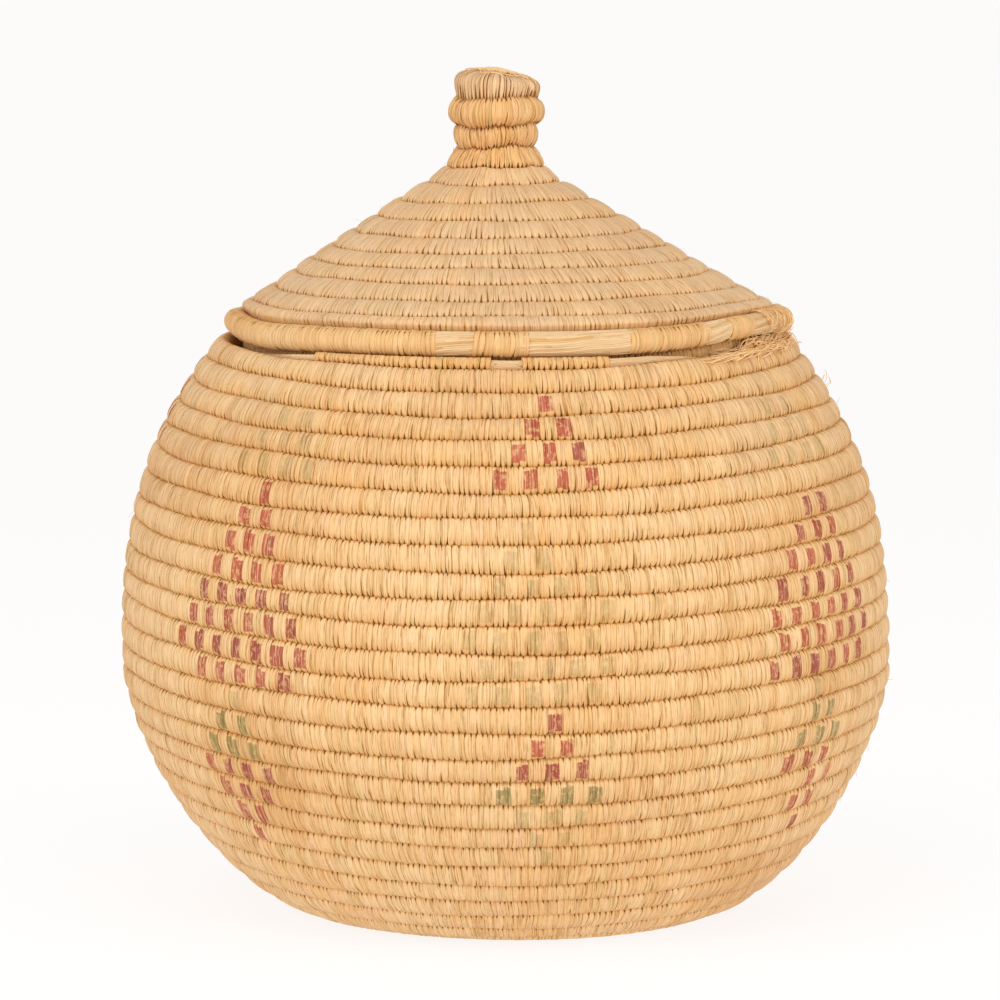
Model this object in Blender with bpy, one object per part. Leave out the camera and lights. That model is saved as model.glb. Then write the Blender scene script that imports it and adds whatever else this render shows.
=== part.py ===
"""A lidded basket of coiled, sewn grass. Metres, +Z up, standing on z = 0, with -Y as its front."""

import math

import bmesh
import bpy
import numpy as np

# Pot, measured over the crests of its rows
FOOT_RADIUS = 0.0639
BELLY_RADIUS = 0.1154
BELLY_HEIGHT = 0.0737
MOUTH_RADIUS = 0.0848
POT_HEIGHT = 0.1723
LOWER_BEND = 1.55
LOWER_FULLNESS = 0.68
SHOULDER_BEND = 2.71
FOOT_SHIFT = 0.0025

# Lid and knob, measured over the crests of their rows
LID_RIM_RADIUS = 0.0846
LID_SLOPE = math.radians(32.3)
KNOB_HEIGHT = 0.0215
KNOB_RADIUS = 0.0145
KNOB_CORNER = 0.0072
NECK_RADIUS = 0.0123
NECK_LENGTH = 0.0080
NECK_FLARE = 0.0120
LID_LEAN = 0.0036
LID_OFFSET = 0.0008
KNOB_TILT = math.radians(4.0)
COLLAR_DEPTH = 0.0135
COLLAR_WALL = 0.0050

# The sewn coil: one bundle of grass, wrapped and stitched to the row before it
POT_ROW = 0.00765
LID_ROW = 0.00783
COLLAR_ROW = 0.0066
WALL_THICKNESS = 0.0060
GROOVE_DEPTH = 0.0010
BASE_KNOT_RADIUS = 0.0062
KNOB_KNOT_RADIUS = 0.0056
KNOT_CORE_SHARE = 0.45
MOUTH_ROW_SHARE = 0.57
LAST_LID_ROW_SHARE = 0.77
LEAST_ROW = 0.0016

# The coil keeps level across the front, and its climb of one row is made round the back
SWAY = 0.25
BACK = 0.5

# Rim of the lid and worn end of the mouth's coil: a bare bundle inside its wrapping
RIM_COIL_RADIUS = 0.00375
RIM_DROP = 0.0012
WRAP_THICKNESS = 0.0004
WRAP_CLEARANCE = 0.00025
RIM_BARE_SPANS = [(-15.0, -7.5), (3.75, 26.25), (45.0, 52.5), (60.0, 71.25)]
MOUTH_COIL_STOP = 50.0
MOUTH_END_START = 39.0
MOUTH_END_STOP = -58.0
MOUTH_WRAP_START = 20.5
MOUTH_WRAP_STOP = -42.0
MOUTH_TIP_SHARE = 0.25

# Clearances
ROW_GAP = 0.0003
SEAT_GAP = 0.0004
COLLAR_CLEARANCE = 0.0013

# Facets in one turn, round one bundle and along a curved outline
KNOT_SIDES = 16
WALL_SIDES = 30
RIM_SIDES = 48
TUBE_SIDES = 7
TUBE_INNER_FIELDS = (2, 3, 4)
OUTLINE_STEPS = 120
SHARP_ANGLE = math.radians(50.0)

# Places across one row where a facet starts: on the outside, on a plain inside and on a ribbed one
OUTER_STEPS = (0.0, 0.30, 0.70)
INNER_STEPS = (0.0,)
CREST_INNER_STEPS = (0.0, 0.5)

GRASS = (0.66, 0.47, 0.24)
DUSTY_GRASS = (0.60, 0.45, 0.27)
BARE_STRAW = (0.80, 0.62, 0.36)
ROUGHNESS = 0.75


class Meridian:
    """The line over a wall's crests, from its centre outwards, read by the distance along it."""

    def __init__(self, r, z, outward):
        self.r, self.z = np.array(r), np.array(z)
        steps = np.hypot(np.diff(self.r), np.diff(self.z))
        self.s = np.concatenate([[0.0], np.cumsum(steps)])
        dr, dz = np.gradient(self.r, self.s), np.gradient(self.z, self.s)
        size = np.hypot(dr, dz)
        self.tangent_r, self.tangent_z = dr / size, dz / size
        self.normal_r, self.normal_z = outward * dz / size, -outward * dr / size
        self.length = float(self.s[-1])

    def read(self, values, s):
        return float(np.interp(s, self.s, values))

    def at(self, s, depth):
        """Radius and height at this distance, and this deep below the crests."""
        r = self.read(self.r, s) - depth * self.read(self.normal_r, s)
        return r, self.read(self.z, s) - depth * self.read(self.normal_z, s)


class Coil:
    """One bundle wound outwards: level across the front, climbing one row round the back."""

    def __init__(self, meridian, start, row, last_share, sense, place):
        self.meridian, self.start, self.sense, self.place = meridian, start, sense, place
        room = meridian.length - start
        self.rows = round(room / row - last_share)
        self.row = room / (self.rows + last_share)

    def azimuth(self, turns):
        return -math.pi / 2 + self.sense * 2 * math.pi * turns

    def turns_at(self, degrees_right):
        """Turns, less whole rows, at this many degrees to the right of the front."""
        return self.sense * degrees_right / 360

    def lower_edge(self, turns):
        sway = SWAY * math.sin(2 * math.pi * turns)
        return min(self.start + self.row * (turns - sway), self.meridian.length)

    def point(self, turns, share, depth, trim=0.0, turned=0.0):
        """A point of the row that starts here: share 0 is its inner edge, and 1 its outer edge."""
        low, high = self.lower_edge(turns) + trim, self.lower_edge(turns + 1)
        r, z = self.meridian.at(low + share * (high - low), depth)
        angle = self.azimuth(turns) + self.sense * turned / r
        return self.place(r * math.cos(angle), r * math.sin(angle), z)

    def last_turns(self):
        """Where the outermost row has run out to its least width."""
        turns = self.rows
        while self.meridian.length - self.lower_edge(turns) > LEAST_ROW:
            turns += 1 / WALL_SIDES
        return turns


def pot_meridian():
    """Flat base, belly and shoulder, up to the level of the mouth."""
    base = np.linspace(0, FOOT_RADIUS, OUTLINE_STEPS)[:-1]
    rise = 1 - np.cos(np.linspace(0, np.pi / 2, 2 * OUTLINE_STEPS))
    share = np.maximum(1 - (1 - rise) ** LOWER_BEND, 0) ** LOWER_FULLNESS
    lower_r = FOOT_RADIUS + (BELLY_RADIUS - FOOT_RADIUS) * share
    lower_z = BELLY_HEIGHT * rise
    up = np.linspace(0, 1, OUTLINE_STEPS)[1:]
    upper_r = BELLY_RADIUS - (BELLY_RADIUS - MOUTH_RADIUS) * up**SHOULDER_BEND
    upper_z = BELLY_HEIGHT + (POT_HEIGHT - BELLY_HEIGHT) * up
    r = np.concatenate([base, lower_r, upper_r])
    z = np.concatenate([np.zeros(len(base)), lower_z, upper_z])
    return Meridian(r, z, 1)


def mouth_edge():
    """Outer and inner corners of the pot's top edge, as radius and height."""
    line = pot_meridian()
    return line.at(line.length, 0), line.at(line.length, WALL_THICKNESS)


def rim_centre():
    """Radius and height of the middle of the lid's rim coil, which lies on the pot's top edge."""
    (r_out, z_out), (r_in, z_in) = mouth_edge()
    r = LID_RIM_RADIUS - RIM_COIL_RADIUS
    climb = (z_out - z_in) / (r_out - r_in)
    edge_z = z_in + (r + LID_OFFSET - r_in) * climb
    return r, edge_z + (RIM_COIL_RADIUS + SEAT_GAP) * math.hypot(1, climb)


def lid_levels():
    """Radius and height of the lid's outer edge, and the heights of its neck and knob top."""
    r, z = rim_centre()
    along, across = RIM_COIL_RADIUS + ROW_GAP, WALL_THICKNESS / 2 + RIM_DROP
    edge_r = r - along * math.cos(LID_SLOPE) + across * math.sin(LID_SLOPE)
    edge_z = z + along * math.sin(LID_SLOPE) + across * math.cos(LID_SLOPE)
    flare = NECK_FLARE * math.tan((math.pi / 2 - LID_SLOPE) / 2)
    neck_z = edge_z + (edge_r - NECK_RADIUS) * math.tan(LID_SLOPE) + flare
    return edge_r, edge_z, neck_z, neck_z + KNOB_HEIGHT


def knob_side(neck_z, top_z):
    """From below the knob's rounded corner down to the neck, drawn in by half a wave."""
    z = np.linspace(top_z - KNOB_CORNER, neck_z, OUTLINE_STEPS)[1:]
    share = np.clip((z - neck_z) / NECK_LENGTH, 0, 1)
    wave = (1 - np.cos(np.pi * share)) / 2
    return NECK_RADIUS + (KNOB_RADIUS - NECK_RADIUS) * wave, z


def lid_meridian():
    """Knob top, rounded corner, drawn-in neck, flare and straight slope, down to the rim."""
    edge_r, edge_z, neck_z, top_z = lid_levels()
    flat = np.linspace(0, KNOB_RADIUS - KNOB_CORNER, OUTLINE_STEPS)[:-1]
    turn = np.linspace(0, np.pi / 2, OUTLINE_STEPS)
    corner_r = KNOB_RADIUS - KNOB_CORNER + KNOB_CORNER * np.sin(turn)
    corner_z = top_z - KNOB_CORNER + KNOB_CORNER * np.cos(turn)
    side_r, side_z = knob_side(neck_z, top_z)
    bend = np.linspace(0, np.pi / 2 - LID_SLOPE, OUTLINE_STEPS)[1:]
    flare_r = NECK_RADIUS + NECK_FLARE * (1 - np.cos(bend))
    flare_z = neck_z - NECK_FLARE * np.sin(bend)
    slope_r = np.linspace(flare_r[-1], edge_r, OUTLINE_STEPS)[1:]
    slope_z = edge_z + (edge_r - slope_r) * math.tan(LID_SLOPE)
    r = np.concatenate([flat, corner_r, side_r, flare_r, slope_r])
    z = np.concatenate([np.full(len(flat), top_z), corner_z, side_z, flare_z, slope_z])
    return Meridian(r, z, -1)


def pot_shift(z):
    """The hand-built wall leans a little, and only its belly is centred on the origin."""
    return FOOT_SHIFT * ((1 - z / POT_HEIGHT) ** 3 - (1 - BELLY_HEIGHT / POT_HEIGHT) ** 3)


def place_pot(x, y, z):
    return x + pot_shift(z), y, z


def place_lid(x, y, z):
    """The lid lies a little off the middle of the mouth, leans to the left and has a tilted knob top."""
    _, edge_z, neck_z, top_z = lid_levels()
    up = max(z - edge_z, 0) / (top_z - edge_z)
    tilt = max(z - neck_z, 0) / (top_z - neck_z)
    shift = pot_shift(POT_HEIGHT) + LID_OFFSET - LID_LEAN * up
    return x + shift, y, z - math.tan(KNOB_TILT) * x * tilt


def solid(name, points, faces, colour, collection):
    """One object from points and faces, with its faces turned outwards and its own material."""
    work = bmesh.new()
    corners = [work.verts.new(point) for point in points]
    for face in faces:
        work.faces.new([corners[index] for index in face])
    bmesh.ops.recalc_face_normals(work, faces=work.faces)
    mesh = bpy.data.meshes.new(name)
    work.to_mesh(mesh)
    work.free()
    mesh.shade_smooth()
    mesh.set_sharp_from_angle(angle=SHARP_ANGLE)
    mesh.materials.append(grass_material(name, colour))
    collection.objects.link(bpy.data.objects.new(name, mesh))


def grass_material(name, colour):
    material = bpy.data.materials.new(name)
    material.use_nodes = True
    surface = material.node_tree.nodes["Principled BSDF"]
    surface.inputs["Base Color"].default_value = (*colour, 1)
    surface.inputs["Roughness"].default_value = ROUGHNESS
    surface.inputs["Metallic"].default_value = 0.0
    return material


class Corners:
    """Points kept once each under a key, in the order that they are asked for."""

    def __init__(self, locate):
        self.locate, self.index, self.points = locate, {}, []

    def __getitem__(self, key):
        if key not in self.index:
            self.index[key] = len(self.points)
            self.points.append(self.locate(key))
        return self.index[key]


def groove(share):
    """Depth below the crests across one row: deepest where two rows are sewn together."""
    return GROOVE_DEPTH if share == 0 else 0.0


def row_corners(coil, begin, end, sides, steps):
    """The corner of a wall's inner or outer side at a facet along the coil and a step across its row."""

    def locate(key):
        side, index, step = key
        share = steps[side][step]
        ribbed = side == "out" or len(steps[side]) > 1
        dip = groove(share) if ribbed else 0.0
        depth = dip if side == "out" else WALL_THICKNESS - dip
        trim = ROW_GAP if step == 0 and index <= begin + sides else 0.0
        turned = -ROW_GAP if index in (end, end + sides) else 0.0
        return coil.point(index / sides, share, depth, trim, turned)

    corners = Corners(locate)

    def corner(side, index, step):
        if step == len(steps[side]):
            return corners[side, index + sides, 0]
        return corners[side, index, step]

    return corners, corner


def coil_wall(name, coil, first, last, sides, inner_steps, colour, collection):
    """The rows from one place on the coil to another, each sewn to the row before it."""
    begin, end = round(first * sides), round(last * sides)
    steps = {"out": OUTER_STEPS, "in": inner_steps}
    corners, corner = row_corners(coil, begin, end, sides, steps)
    faces = []
    for side in ("out", "in"):
        for index in range(begin, end):
            for step in range(len(steps[side])):
                quad = [
                    corner(side, index, step),
                    corner(side, index + 1, step),
                    corner(side, index + 1, step + 1),
                    corner(side, index, step + 1),
                ]
                faces.append(quad if side == "out" else quad[::-1])
    for low, high in ((begin, begin + sides), (end, end + sides)):
        for index in range(low, high):
            edge = [corner("out", index, 0), corner("out", index + 1, 0)]
            edge += [corner("in", index + 1, 0), corner("in", index, 0)]
            faces.append(edge)
    for index in (begin, end):
        outer = [corner("out", index, step) for step in range(len(OUTER_STEPS) + 1)]
        inner = [corner("in", index, step) for step in range(len(inner_steps) + 1)]
        faces.append(outer + inner[::-1])
    solid(name, corners.points, faces, colour, collection)


def coil_start(name, coil, colour, collection):
    """The knot that the bundle starts from: a small disc whose edge runs out by one row."""
    count = KNOT_SIDES
    core = coil.start * KNOT_CORE_SHARE
    border = coil.row * OUTER_STEPS[1]
    rings = {
        "core": (lambda edge: core, 0.0),
        "crest": (lambda edge: edge - border, 0.0),
        "out_edge": (lambda edge: edge, GROOVE_DEPTH),
        "in_edge": (lambda edge: edge, WALL_THICKNESS),
        "in_core": (lambda edge: core, WALL_THICKNESS),
        "middle": (lambda edge: 0.0, 0.0),
        "in_middle": (lambda edge: 0.0, WALL_THICKNESS),
    }

    def locate(key):
        ring, index = key
        reach, depth = rings[ring]
        s = reach(coil.lower_edge(index / count))
        r, z = coil.meridian.at(s, depth)
        angle = coil.azimuth(index / count)
        if index == count:
            angle -= coil.sense * ROW_GAP / r
        return coil.place(r * math.cos(angle), r * math.sin(angle), z)

    corners = Corners(locate)

    def corner(ring, index):
        return corners[ring, index % count if ring in ("core", "in_core") else index]

    bands = [("core", "crest"), ("crest", "out_edge"), ("out_edge", "in_edge"), ("in_edge", "in_core")]
    faces = []
    for index in range(count):
        after = index + 1
        faces.append([corners["middle", 0], corner("core", index), corner("core", after)])
        faces.append([corners["in_middle", 0], corner("in_core", after), corner("in_core", index)])
        for low, high in bands:
            near, far = corner(low, after), corner(high, after)
            faces.append([corner(low, index), near, far, corner(high, index)])
    faces.append([corners["core", 0], corners["crest", 0], corners["crest", count]])
    faces.append([corners["in_core", 0], corners["in_edge", count], corners["in_edge", 0]])
    for low, high in bands[1:3]:
        faces.append([corners[low, 0], corners[high, 0], corners[high, count], corners[low, count]])
    solid(name, corners.points, faces, colour, collection)


def tube(name, section, count, closed, colour, collection):
    """A solid bundle: section(u, v) gives a point for step u along it and step v round it."""
    corners = Corners(lambda key: section(*key))
    rounds = count if closed else count + 1

    def corner(u, v):
        return corners[u % rounds if closed else u, v % TUBE_SIDES]

    faces = []
    for u in range(count):
        for v in range(TUBE_SIDES):
            faces.append([corner(u, v), corner(u + 1, v), corner(u + 1, v + 1), corner(u, v + 1)])
    if not closed:
        for u in (0, count):
            faces.append([corner(u, v) for v in range(TUBE_SIDES)])
    solid(name, corners.points, faces, colour, collection)


def sleeve(name, section, count, closed, covered, colour, collection):
    """A wrapping round a bundle: covered(u, v) says which of its fields are still there."""
    corners = Corners(lambda key: section(*key))

    def wrap(u):
        return u % count if closed else u

    def corner(layer, u, v):
        return corners[layer, wrap(u), v % TUBE_SIDES]

    def there(u, v):
        if not closed and not 0 <= u < count:
            return False
        return covered(wrap(u), v % TUBE_SIDES)

    faces = []
    for u in range(count):
        for v in range(TUBE_SIDES):
            if not there(u, v):
                continue
            ring = [(u, v), (u + 1, v), (u + 1, v + 1), (u, v + 1)]
            faces.append([corner("out", *place) for place in ring])
            faces.append([corner("in", *place) for place in ring[::-1]])
            sides = {(u, v - 1): (0, 1), (u + 1, v): (1, 2), (u, v + 1): (2, 3), (u - 1, v): (3, 0)}
            for beside, (a, b) in sides.items():
                if not there(*beside):
                    pair = [corner("out", *ring[b]), corner("out", *ring[a])]
                    faces.append(pair + [corner("in", *ring[a]), corner("in", *ring[b])])
    solid(name, corners.points, faces, colour, collection)


def rim_point(radius, u, v, count):
    """A point on the lid's level rim coil; v = 0 looks outwards and v runs up and over it."""
    centre_r, centre_z = rim_centre()
    turn = 2 * math.pi * v / TUBE_SIDES
    angle = -math.pi / 2 + 2 * math.pi * u / count
    r = centre_r + radius * math.cos(turn)
    return place_lid(r * math.cos(angle), r * math.sin(angle), centre_z + radius * math.sin(turn))


def lid_rim(collection):
    """The rim's bundle, bare where its wrapping has worn through on the outer side."""
    bundle = RIM_COIL_RADIUS - WRAP_THICKNESS - WRAP_CLEARANCE
    layers = {"out": RIM_COIL_RADIUS, "in": RIM_COIL_RADIUS - WRAP_THICKNESS}
    count = RIM_SIDES

    def covered(u, v):
        middle = (360 * (u + 0.5) / count + 180) % 360 - 180
        worn = any(low < middle < high for low, high in RIM_BARE_SPANS)
        return not worn or v in TUBE_INNER_FIELDS

    def core(u, v):
        return rim_point(bundle, u, v, count)

    def wrapping(layer, u, v):
        return rim_point(layers[layer], u, v, count)

    tube("lid_rim_bundle", core, count, True, BARE_STRAW, collection)
    sleeve("lid_rim_wrapping", wrapping, count, True, covered, GRASS, collection)


def mouth_point(coil, turns, inset, taper, v):
    """A point on the last, free length of the pot's coil, which lies on the row below it."""
    low = coil.lower_edge(turns) + ROW_GAP
    high = coil.meridian.length
    middle = (low + high) / 2
    turn = 2 * math.pi * v / TUBE_SIDES
    half_row = ((high - low) / 2 - inset) * taper
    half_wall = (WALL_THICKNESS / 2 - GROOVE_DEPTH / 2 - inset) * taper
    middle -= (high - low) / 2 * (1 - taper)
    depth = WALL_THICKNESS / 2 - half_wall * math.cos(turn)
    r, z = coil.meridian.at(middle, depth)
    along = half_row * math.sin(turn)
    r += along * coil.meridian.read(coil.meridian.tangent_r, middle)
    z += along * coil.meridian.read(coil.meridian.tangent_z, middle)
    angle = coil.azimuth(turns)
    return coil.place(r * math.cos(angle), r * math.sin(angle), z)


def mouth_end(coil, collection):
    """The coil's tail at the mouth: bare and broken at one end, bare and thinning at the other."""
    bundle_inset = WRAP_THICKNESS + WRAP_CLEARANCE
    layers = {"out": 0.0, "in": WRAP_THICKNESS}
    first = coil.rows + coil.turns_at(MOUTH_END_START)
    last = coil.rows + coil.turns_at(MOUTH_END_STOP)
    wrap_first = coil.rows + coil.turns_at(MOUTH_WRAP_START)
    wrap_last = coil.rows + coil.turns_at(MOUTH_WRAP_STOP)
    step = 1 / RIM_SIDES
    count, wrap_count = round((last - first) / step), round((wrap_last - wrap_first) / step)

    def bundle(u, v):
        turns = first + (last - first) * u / count
        left = (last - turns) / (last - wrap_last)
        taper = min(1.0, MOUTH_TIP_SHARE + (1 - MOUTH_TIP_SHARE) * left)
        return mouth_point(coil, turns, bundle_inset, taper, v)

    def wrapping(layer, u, v):
        turns = wrap_first + (wrap_last - wrap_first) * u / wrap_count
        return mouth_point(coil, turns, layers[layer], 1.0, v)

    tube("mouth_end_bundle", bundle, count, False, BARE_STRAW, collection)
    sleeve("mouth_end_wrapping", wrapping, wrap_count, False, lambda u, v: True, GRASS, collection)


def collar_profile():
    """Section of the lid's collar as (radius, height) points, sewn up under the lid and its rim."""
    _, (mouth_r, _) = mouth_edge()
    edge_r, edge_z, _, _ = lid_levels()
    outer = mouth_r - COLLAR_CLEARANCE
    inner = outer - COLLAR_WALL
    top = rim_centre()[1] - RIM_COIL_RADIUS - ROW_GAP
    under = (WALL_THICKNESS + ROW_GAP) / math.cos(LID_SLOPE)
    inner_top = edge_z + (edge_r - inner) * math.tan(LID_SLOPE) - under
    rows = max(1, round(COLLAR_DEPTH / COLLAR_ROW))
    row = COLLAR_DEPTH / rows
    outside, inside = [], []
    for index in range(rows):
        outside += [(outer - groove(share), top - row * (index + share)) for share in OUTER_STEPS]
        inside += [(inner + groove(share), top - row * (index + share)) for share in CREST_INNER_STEPS]
    outside.append((outer - GROOVE_DEPTH, top - COLLAR_DEPTH))
    inside.append((inner + GROOVE_DEPTH, top - COLLAR_DEPTH))
    return [(inner, inner_top)] + outside + inside[::-1]


def lid_collar(collection):
    """The coiled collar under the lid, which drops inside the mouth and keeps the lid central."""
    profile = collar_profile()
    count = WALL_SIDES
    points, faces = [], []
    for u in range(count):
        angle = -math.pi / 2 + 2 * math.pi * u / count
        for r, z in profile:
            points.append(place_lid(r * math.cos(angle), r * math.sin(angle), z))
    size = len(profile)
    for u in range(count):
        beside = (u + 1) % count
        for index in range(size):
            after = (index + 1) % size
            low, high = u * size, beside * size
            faces.append([low + index, high + index, high + after, low + after])
    solid("lid_collar", points, faces, DUSTY_GRASS, collection)


def build_pot(collection):
    coil = Coil(pot_meridian(), BASE_KNOT_RADIUS, POT_ROW, MOUTH_ROW_SHARE, -1, place_pot)
    base_rows = math.floor((FOOT_RADIUS - coil.start) / coil.row - 1 - SWAY) - BACK
    belly = np.interp(BELLY_HEIGHT, coil.meridian.z, coil.meridian.s)
    belly_rows = round((belly - coil.start) / coil.row) - BACK
    end = coil.rows + coil.turns_at(MOUTH_COIL_STOP)
    coil_start("base_knot", coil, GRASS, collection)
    coil_wall("base_coil", coil, 0, base_rows, WALL_SIDES, INNER_STEPS, GRASS, collection)
    coil_wall("lower_wall_coil", coil, base_rows, belly_rows, WALL_SIDES, INNER_STEPS, GRASS, collection)
    coil_wall("upper_wall_coil", coil, belly_rows, end, WALL_SIDES, CREST_INNER_STEPS, GRASS, collection)
    mouth_end(coil, collection)


def build_lid(collection):
    coil = Coil(lid_meridian(), KNOB_KNOT_RADIUS, LID_ROW, LAST_LID_ROW_SHARE, 1, place_lid)
    neck_z = lid_levels()[2]
    neck = np.interp(-neck_z, -coil.meridian.z, coil.meridian.s)
    knob_rows = round((neck - coil.start) / coil.row) - BACK
    coil_start("knob_knot", coil, DUSTY_GRASS, collection)
    coil_wall("knob_coil", coil, 0, knob_rows, KNOT_SIDES, INNER_STEPS, DUSTY_GRASS, collection)
    last = coil.last_turns()
    coil_wall("lid_coil", coil, knob_rows, last, WALL_SIDES, INNER_STEPS, DUSTY_GRASS, collection)
    lid_rim(collection)
    lid_collar(collection)


def main():
    for obj in list(bpy.data.objects):
        bpy.data.objects.remove(obj)
    collection = bpy.data.collections.new("lidded_grass_basket")
    bpy.context.scene.collection.children.link(collection)
    build_pot(collection)
    build_lid(collection)


main()
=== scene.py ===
"""Looks of a lidded basket of coiled, sewn grass. Metres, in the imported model's frame; -Y is its front."""

import math

import bpy
import numpy as np
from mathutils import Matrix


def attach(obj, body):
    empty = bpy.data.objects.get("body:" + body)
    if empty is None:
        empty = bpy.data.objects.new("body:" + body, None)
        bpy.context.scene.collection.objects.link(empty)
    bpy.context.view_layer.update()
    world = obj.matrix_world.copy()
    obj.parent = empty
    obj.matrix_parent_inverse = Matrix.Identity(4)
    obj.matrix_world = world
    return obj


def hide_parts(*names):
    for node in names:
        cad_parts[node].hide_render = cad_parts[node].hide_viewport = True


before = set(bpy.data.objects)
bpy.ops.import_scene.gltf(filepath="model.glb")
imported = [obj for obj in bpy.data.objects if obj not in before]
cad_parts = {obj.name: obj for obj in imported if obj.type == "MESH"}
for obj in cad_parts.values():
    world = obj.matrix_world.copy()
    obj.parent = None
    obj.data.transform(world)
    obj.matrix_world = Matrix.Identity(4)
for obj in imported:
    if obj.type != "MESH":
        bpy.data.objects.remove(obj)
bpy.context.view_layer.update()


# The pot's coil. One bundle of dry grass, as thick as a pencil, is wound round in rows of
# three quarters of a centimetre. A fine flat strand wraps it all the way, and each stitch of
# that strand passes through the row before, so every row ends below in a line of small holes.
FOOT_RADIUS = 0.0639
BELLY_RADIUS = 0.1154
BELLY_HEIGHT = 0.0737
MOUTH_RADIUS = 0.0848
POT_HEIGHT = 0.1723
LOWER_BEND = 1.55
LOWER_FULLNESS = 0.68
SHOULDER_BEND = 2.71
FOOT_SHIFT = 0.0025
POT_ROW = 0.00765
POT_KNOT_RADIUS = 0.0062
MOUTH_ROW_SHARE = 0.57
WALL = 0.0060
SWAY = 0.25
# How many rows the coil stands higher at the sides than at the front, by rows below the mouth
SIDE_RISE = ((0, 4, 9, 12, 15, 18, 21, 23.5, 25.5), (0.55, 0.63, 0.60, 0.68, 0.80, 1.0, 1.0, 0.6, 0.0))
# Slow waves in a row's edge: how many a turn, how high beside the first, and where each starts
ROW_WAVES = ((2.31, 1.0, 0.0), (5.63, 0.8, 1.0), (11.3, 0.6, 2.0))
ROW_WANDER = 0.00028
# How much thicker and thinner the bundle gets, how far its section laps over the next row's, and
# how square that section is: 2 is round
SWELL = 0.06
ROW_OVERLAP = 1.08
ROUNDNESS = 2.8
LEAST_RADIUS = 0.0012
# The way from one wrap of the strand to the next, and the most of them in one piece
STITCH_PITCH = 0.0016
MOST_WRAPS = 1050


class Outline:
    """The line over the crests of a wall's rows, from its centre outwards, read by the distance along it."""

    def __init__(self, r, z, outward):
        self.s = np.concatenate([[0.0], np.cumsum(np.hypot(np.diff(r), np.diff(z)))])
        dr, dz = np.gradient(r, self.s), np.gradient(z, self.s)
        size = np.hypot(dr, dz)
        self.lines = (r, z, dr / size, dz / size, outward * dz / size, -outward * dr / size)
        self.length = float(self.s[-1])

    def at(self, s):
        """Radius, height, the direction across the rows and the direction out of the wall."""
        on = np.clip(s, 0, self.length)
        r, z, along_r, along_z, out_r, out_z = [np.interp(on, self.s, line) for line in self.lines]
        return r + (s - on) * along_r, z + (s - on) * along_z, along_r, along_z, out_r, out_z


class Coil:
    """One bundle wound outwards: level across the front, climbing one row round the back."""

    def __init__(self, outline, edges, rows, sense, place, side_rise=((0, 1), (0, 0))):
        """The edges are those of the rows at the front, the first of them a turn before the coil's start."""
        self.outline, self.edges, self.rows, self.sense = outline, np.asarray(edges), rows, sense
        self.place, self.side_rise = place, side_rise
        self.row = float(edges[-1] - edges[0]) / (len(edges) - 1)

    def turns_at(self, degrees_right):
        """Turns, less whole rows, at this many degrees to the right of the front."""
        return self.sense * degrees_right / 360

    def azimuth(self, turns):
        return -np.pi / 2 + self.sense * 2 * np.pi * turns

    def lower_edge(self, turns):
        climb = turns - SWAY * np.sin(2 * np.pi * turns)
        waves = [high * np.sin(often * 2 * np.pi * turns + start) for often, high, start in ROW_WAVES]
        wander = ROW_WANDER * sum(waves)
        edge = np.interp(climb, np.arange(len(self.edges)) - 1, self.edges)
        rise = np.interp((self.outline.length - edge) / self.row, *self.side_rise)
        edge = edge + wander * (turns > 0.5) + rise * self.row * np.sin(2 * np.pi * turns) ** 2
        return np.where(turns < -0.5 - 1e-6, 0.0, np.clip(edge, 0.0, self.outline.length))

    def radius(self, turns):
        low, high = self.lower_edge(turns), self.lower_edge(turns + 1)
        return np.maximum(self.outline.at(0.25 * low + 0.75 * high)[0], LEAST_RADIUS)

    def around(self, turns, ring, lift):
        """Radius and height of the points round the bundle, each lifted this far off its surface."""
        low, high = self.lower_edge(turns), self.lower_edge(turns + 1)
        r, z, along_r, along_z, out_r, out_z = self.outline.at(low + (high - low) * ring.rise)
        swell = 1 + SWELL * np.sin(3.7 * 2 * np.pi * turns) * np.sin(0.83 * 2 * np.pi * turns)
        out = WALL / 2 * (swell * ring.out - 1) + lift * ring.lift[1]
        along = lift * ring.lift[0]
        return r + out * out_r + along * along_r, z + out * out_z + along * along_z


# Where the ring round one bundle has its points: first across the outside, from the lower
# valley to the upper one, and then back across the inside.
OUTER_RING = (-1, -0.985, -0.95, -0.89, -0.77, -0.55, -0.28, 0, 0.28, 0.55, 0.74, 0.83, 0.90, 0.95, 0.985)
LONG_RING = (-1, -0.985, -0.95, -0.89, -0.8, -0.7, -0.6, -0.5, -0.4, -0.3, -0.2, -0.1, 0, 0.1,
             0.2, 0.28, 0.36, 0.44, 0.52, 0.6, 0.68, 0.76, 0.83, 0.89, 0.93, 0.96, 0.985)
INNER_RING = (1, 0.95, 0.8, 0.45, 0, -0.45, -0.8, -0.95)
HALF_ROW_MM, HALF_WALL_MM = 3.9, 3.0


class Ring:
    """The closed section of a wrapped bundle: how far across, how far out, and where a stitch has got to."""

    def __init__(self, roundness, outer=OUTER_RING):
        across = np.array(outer + INNER_RING, float)
        out = (1 - np.abs(across) ** roundness) ** (1 / roundness)
        outside = np.arange(len(across)) < len(outer)
        self.across, self.out = across, np.where(outside, out, -out)
        self.rise = 0.5 + 0.5 * across * ROW_OVERLAP
        self.stitch = np.where(outside, self.rise, 2 - self.rise)
        lean = np.hypot(across, self.out)
        self.lift = across / lean, self.out / lean
        x, y = across * HALF_ROW_MM, self.out * HALF_WALL_MM
        step = np.hypot(np.diff(np.append(x, x[0])), np.diff(np.append(y, y[0])))
        self.round = np.concatenate([[0], np.cumsum(step)]) / step.sum()


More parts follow.
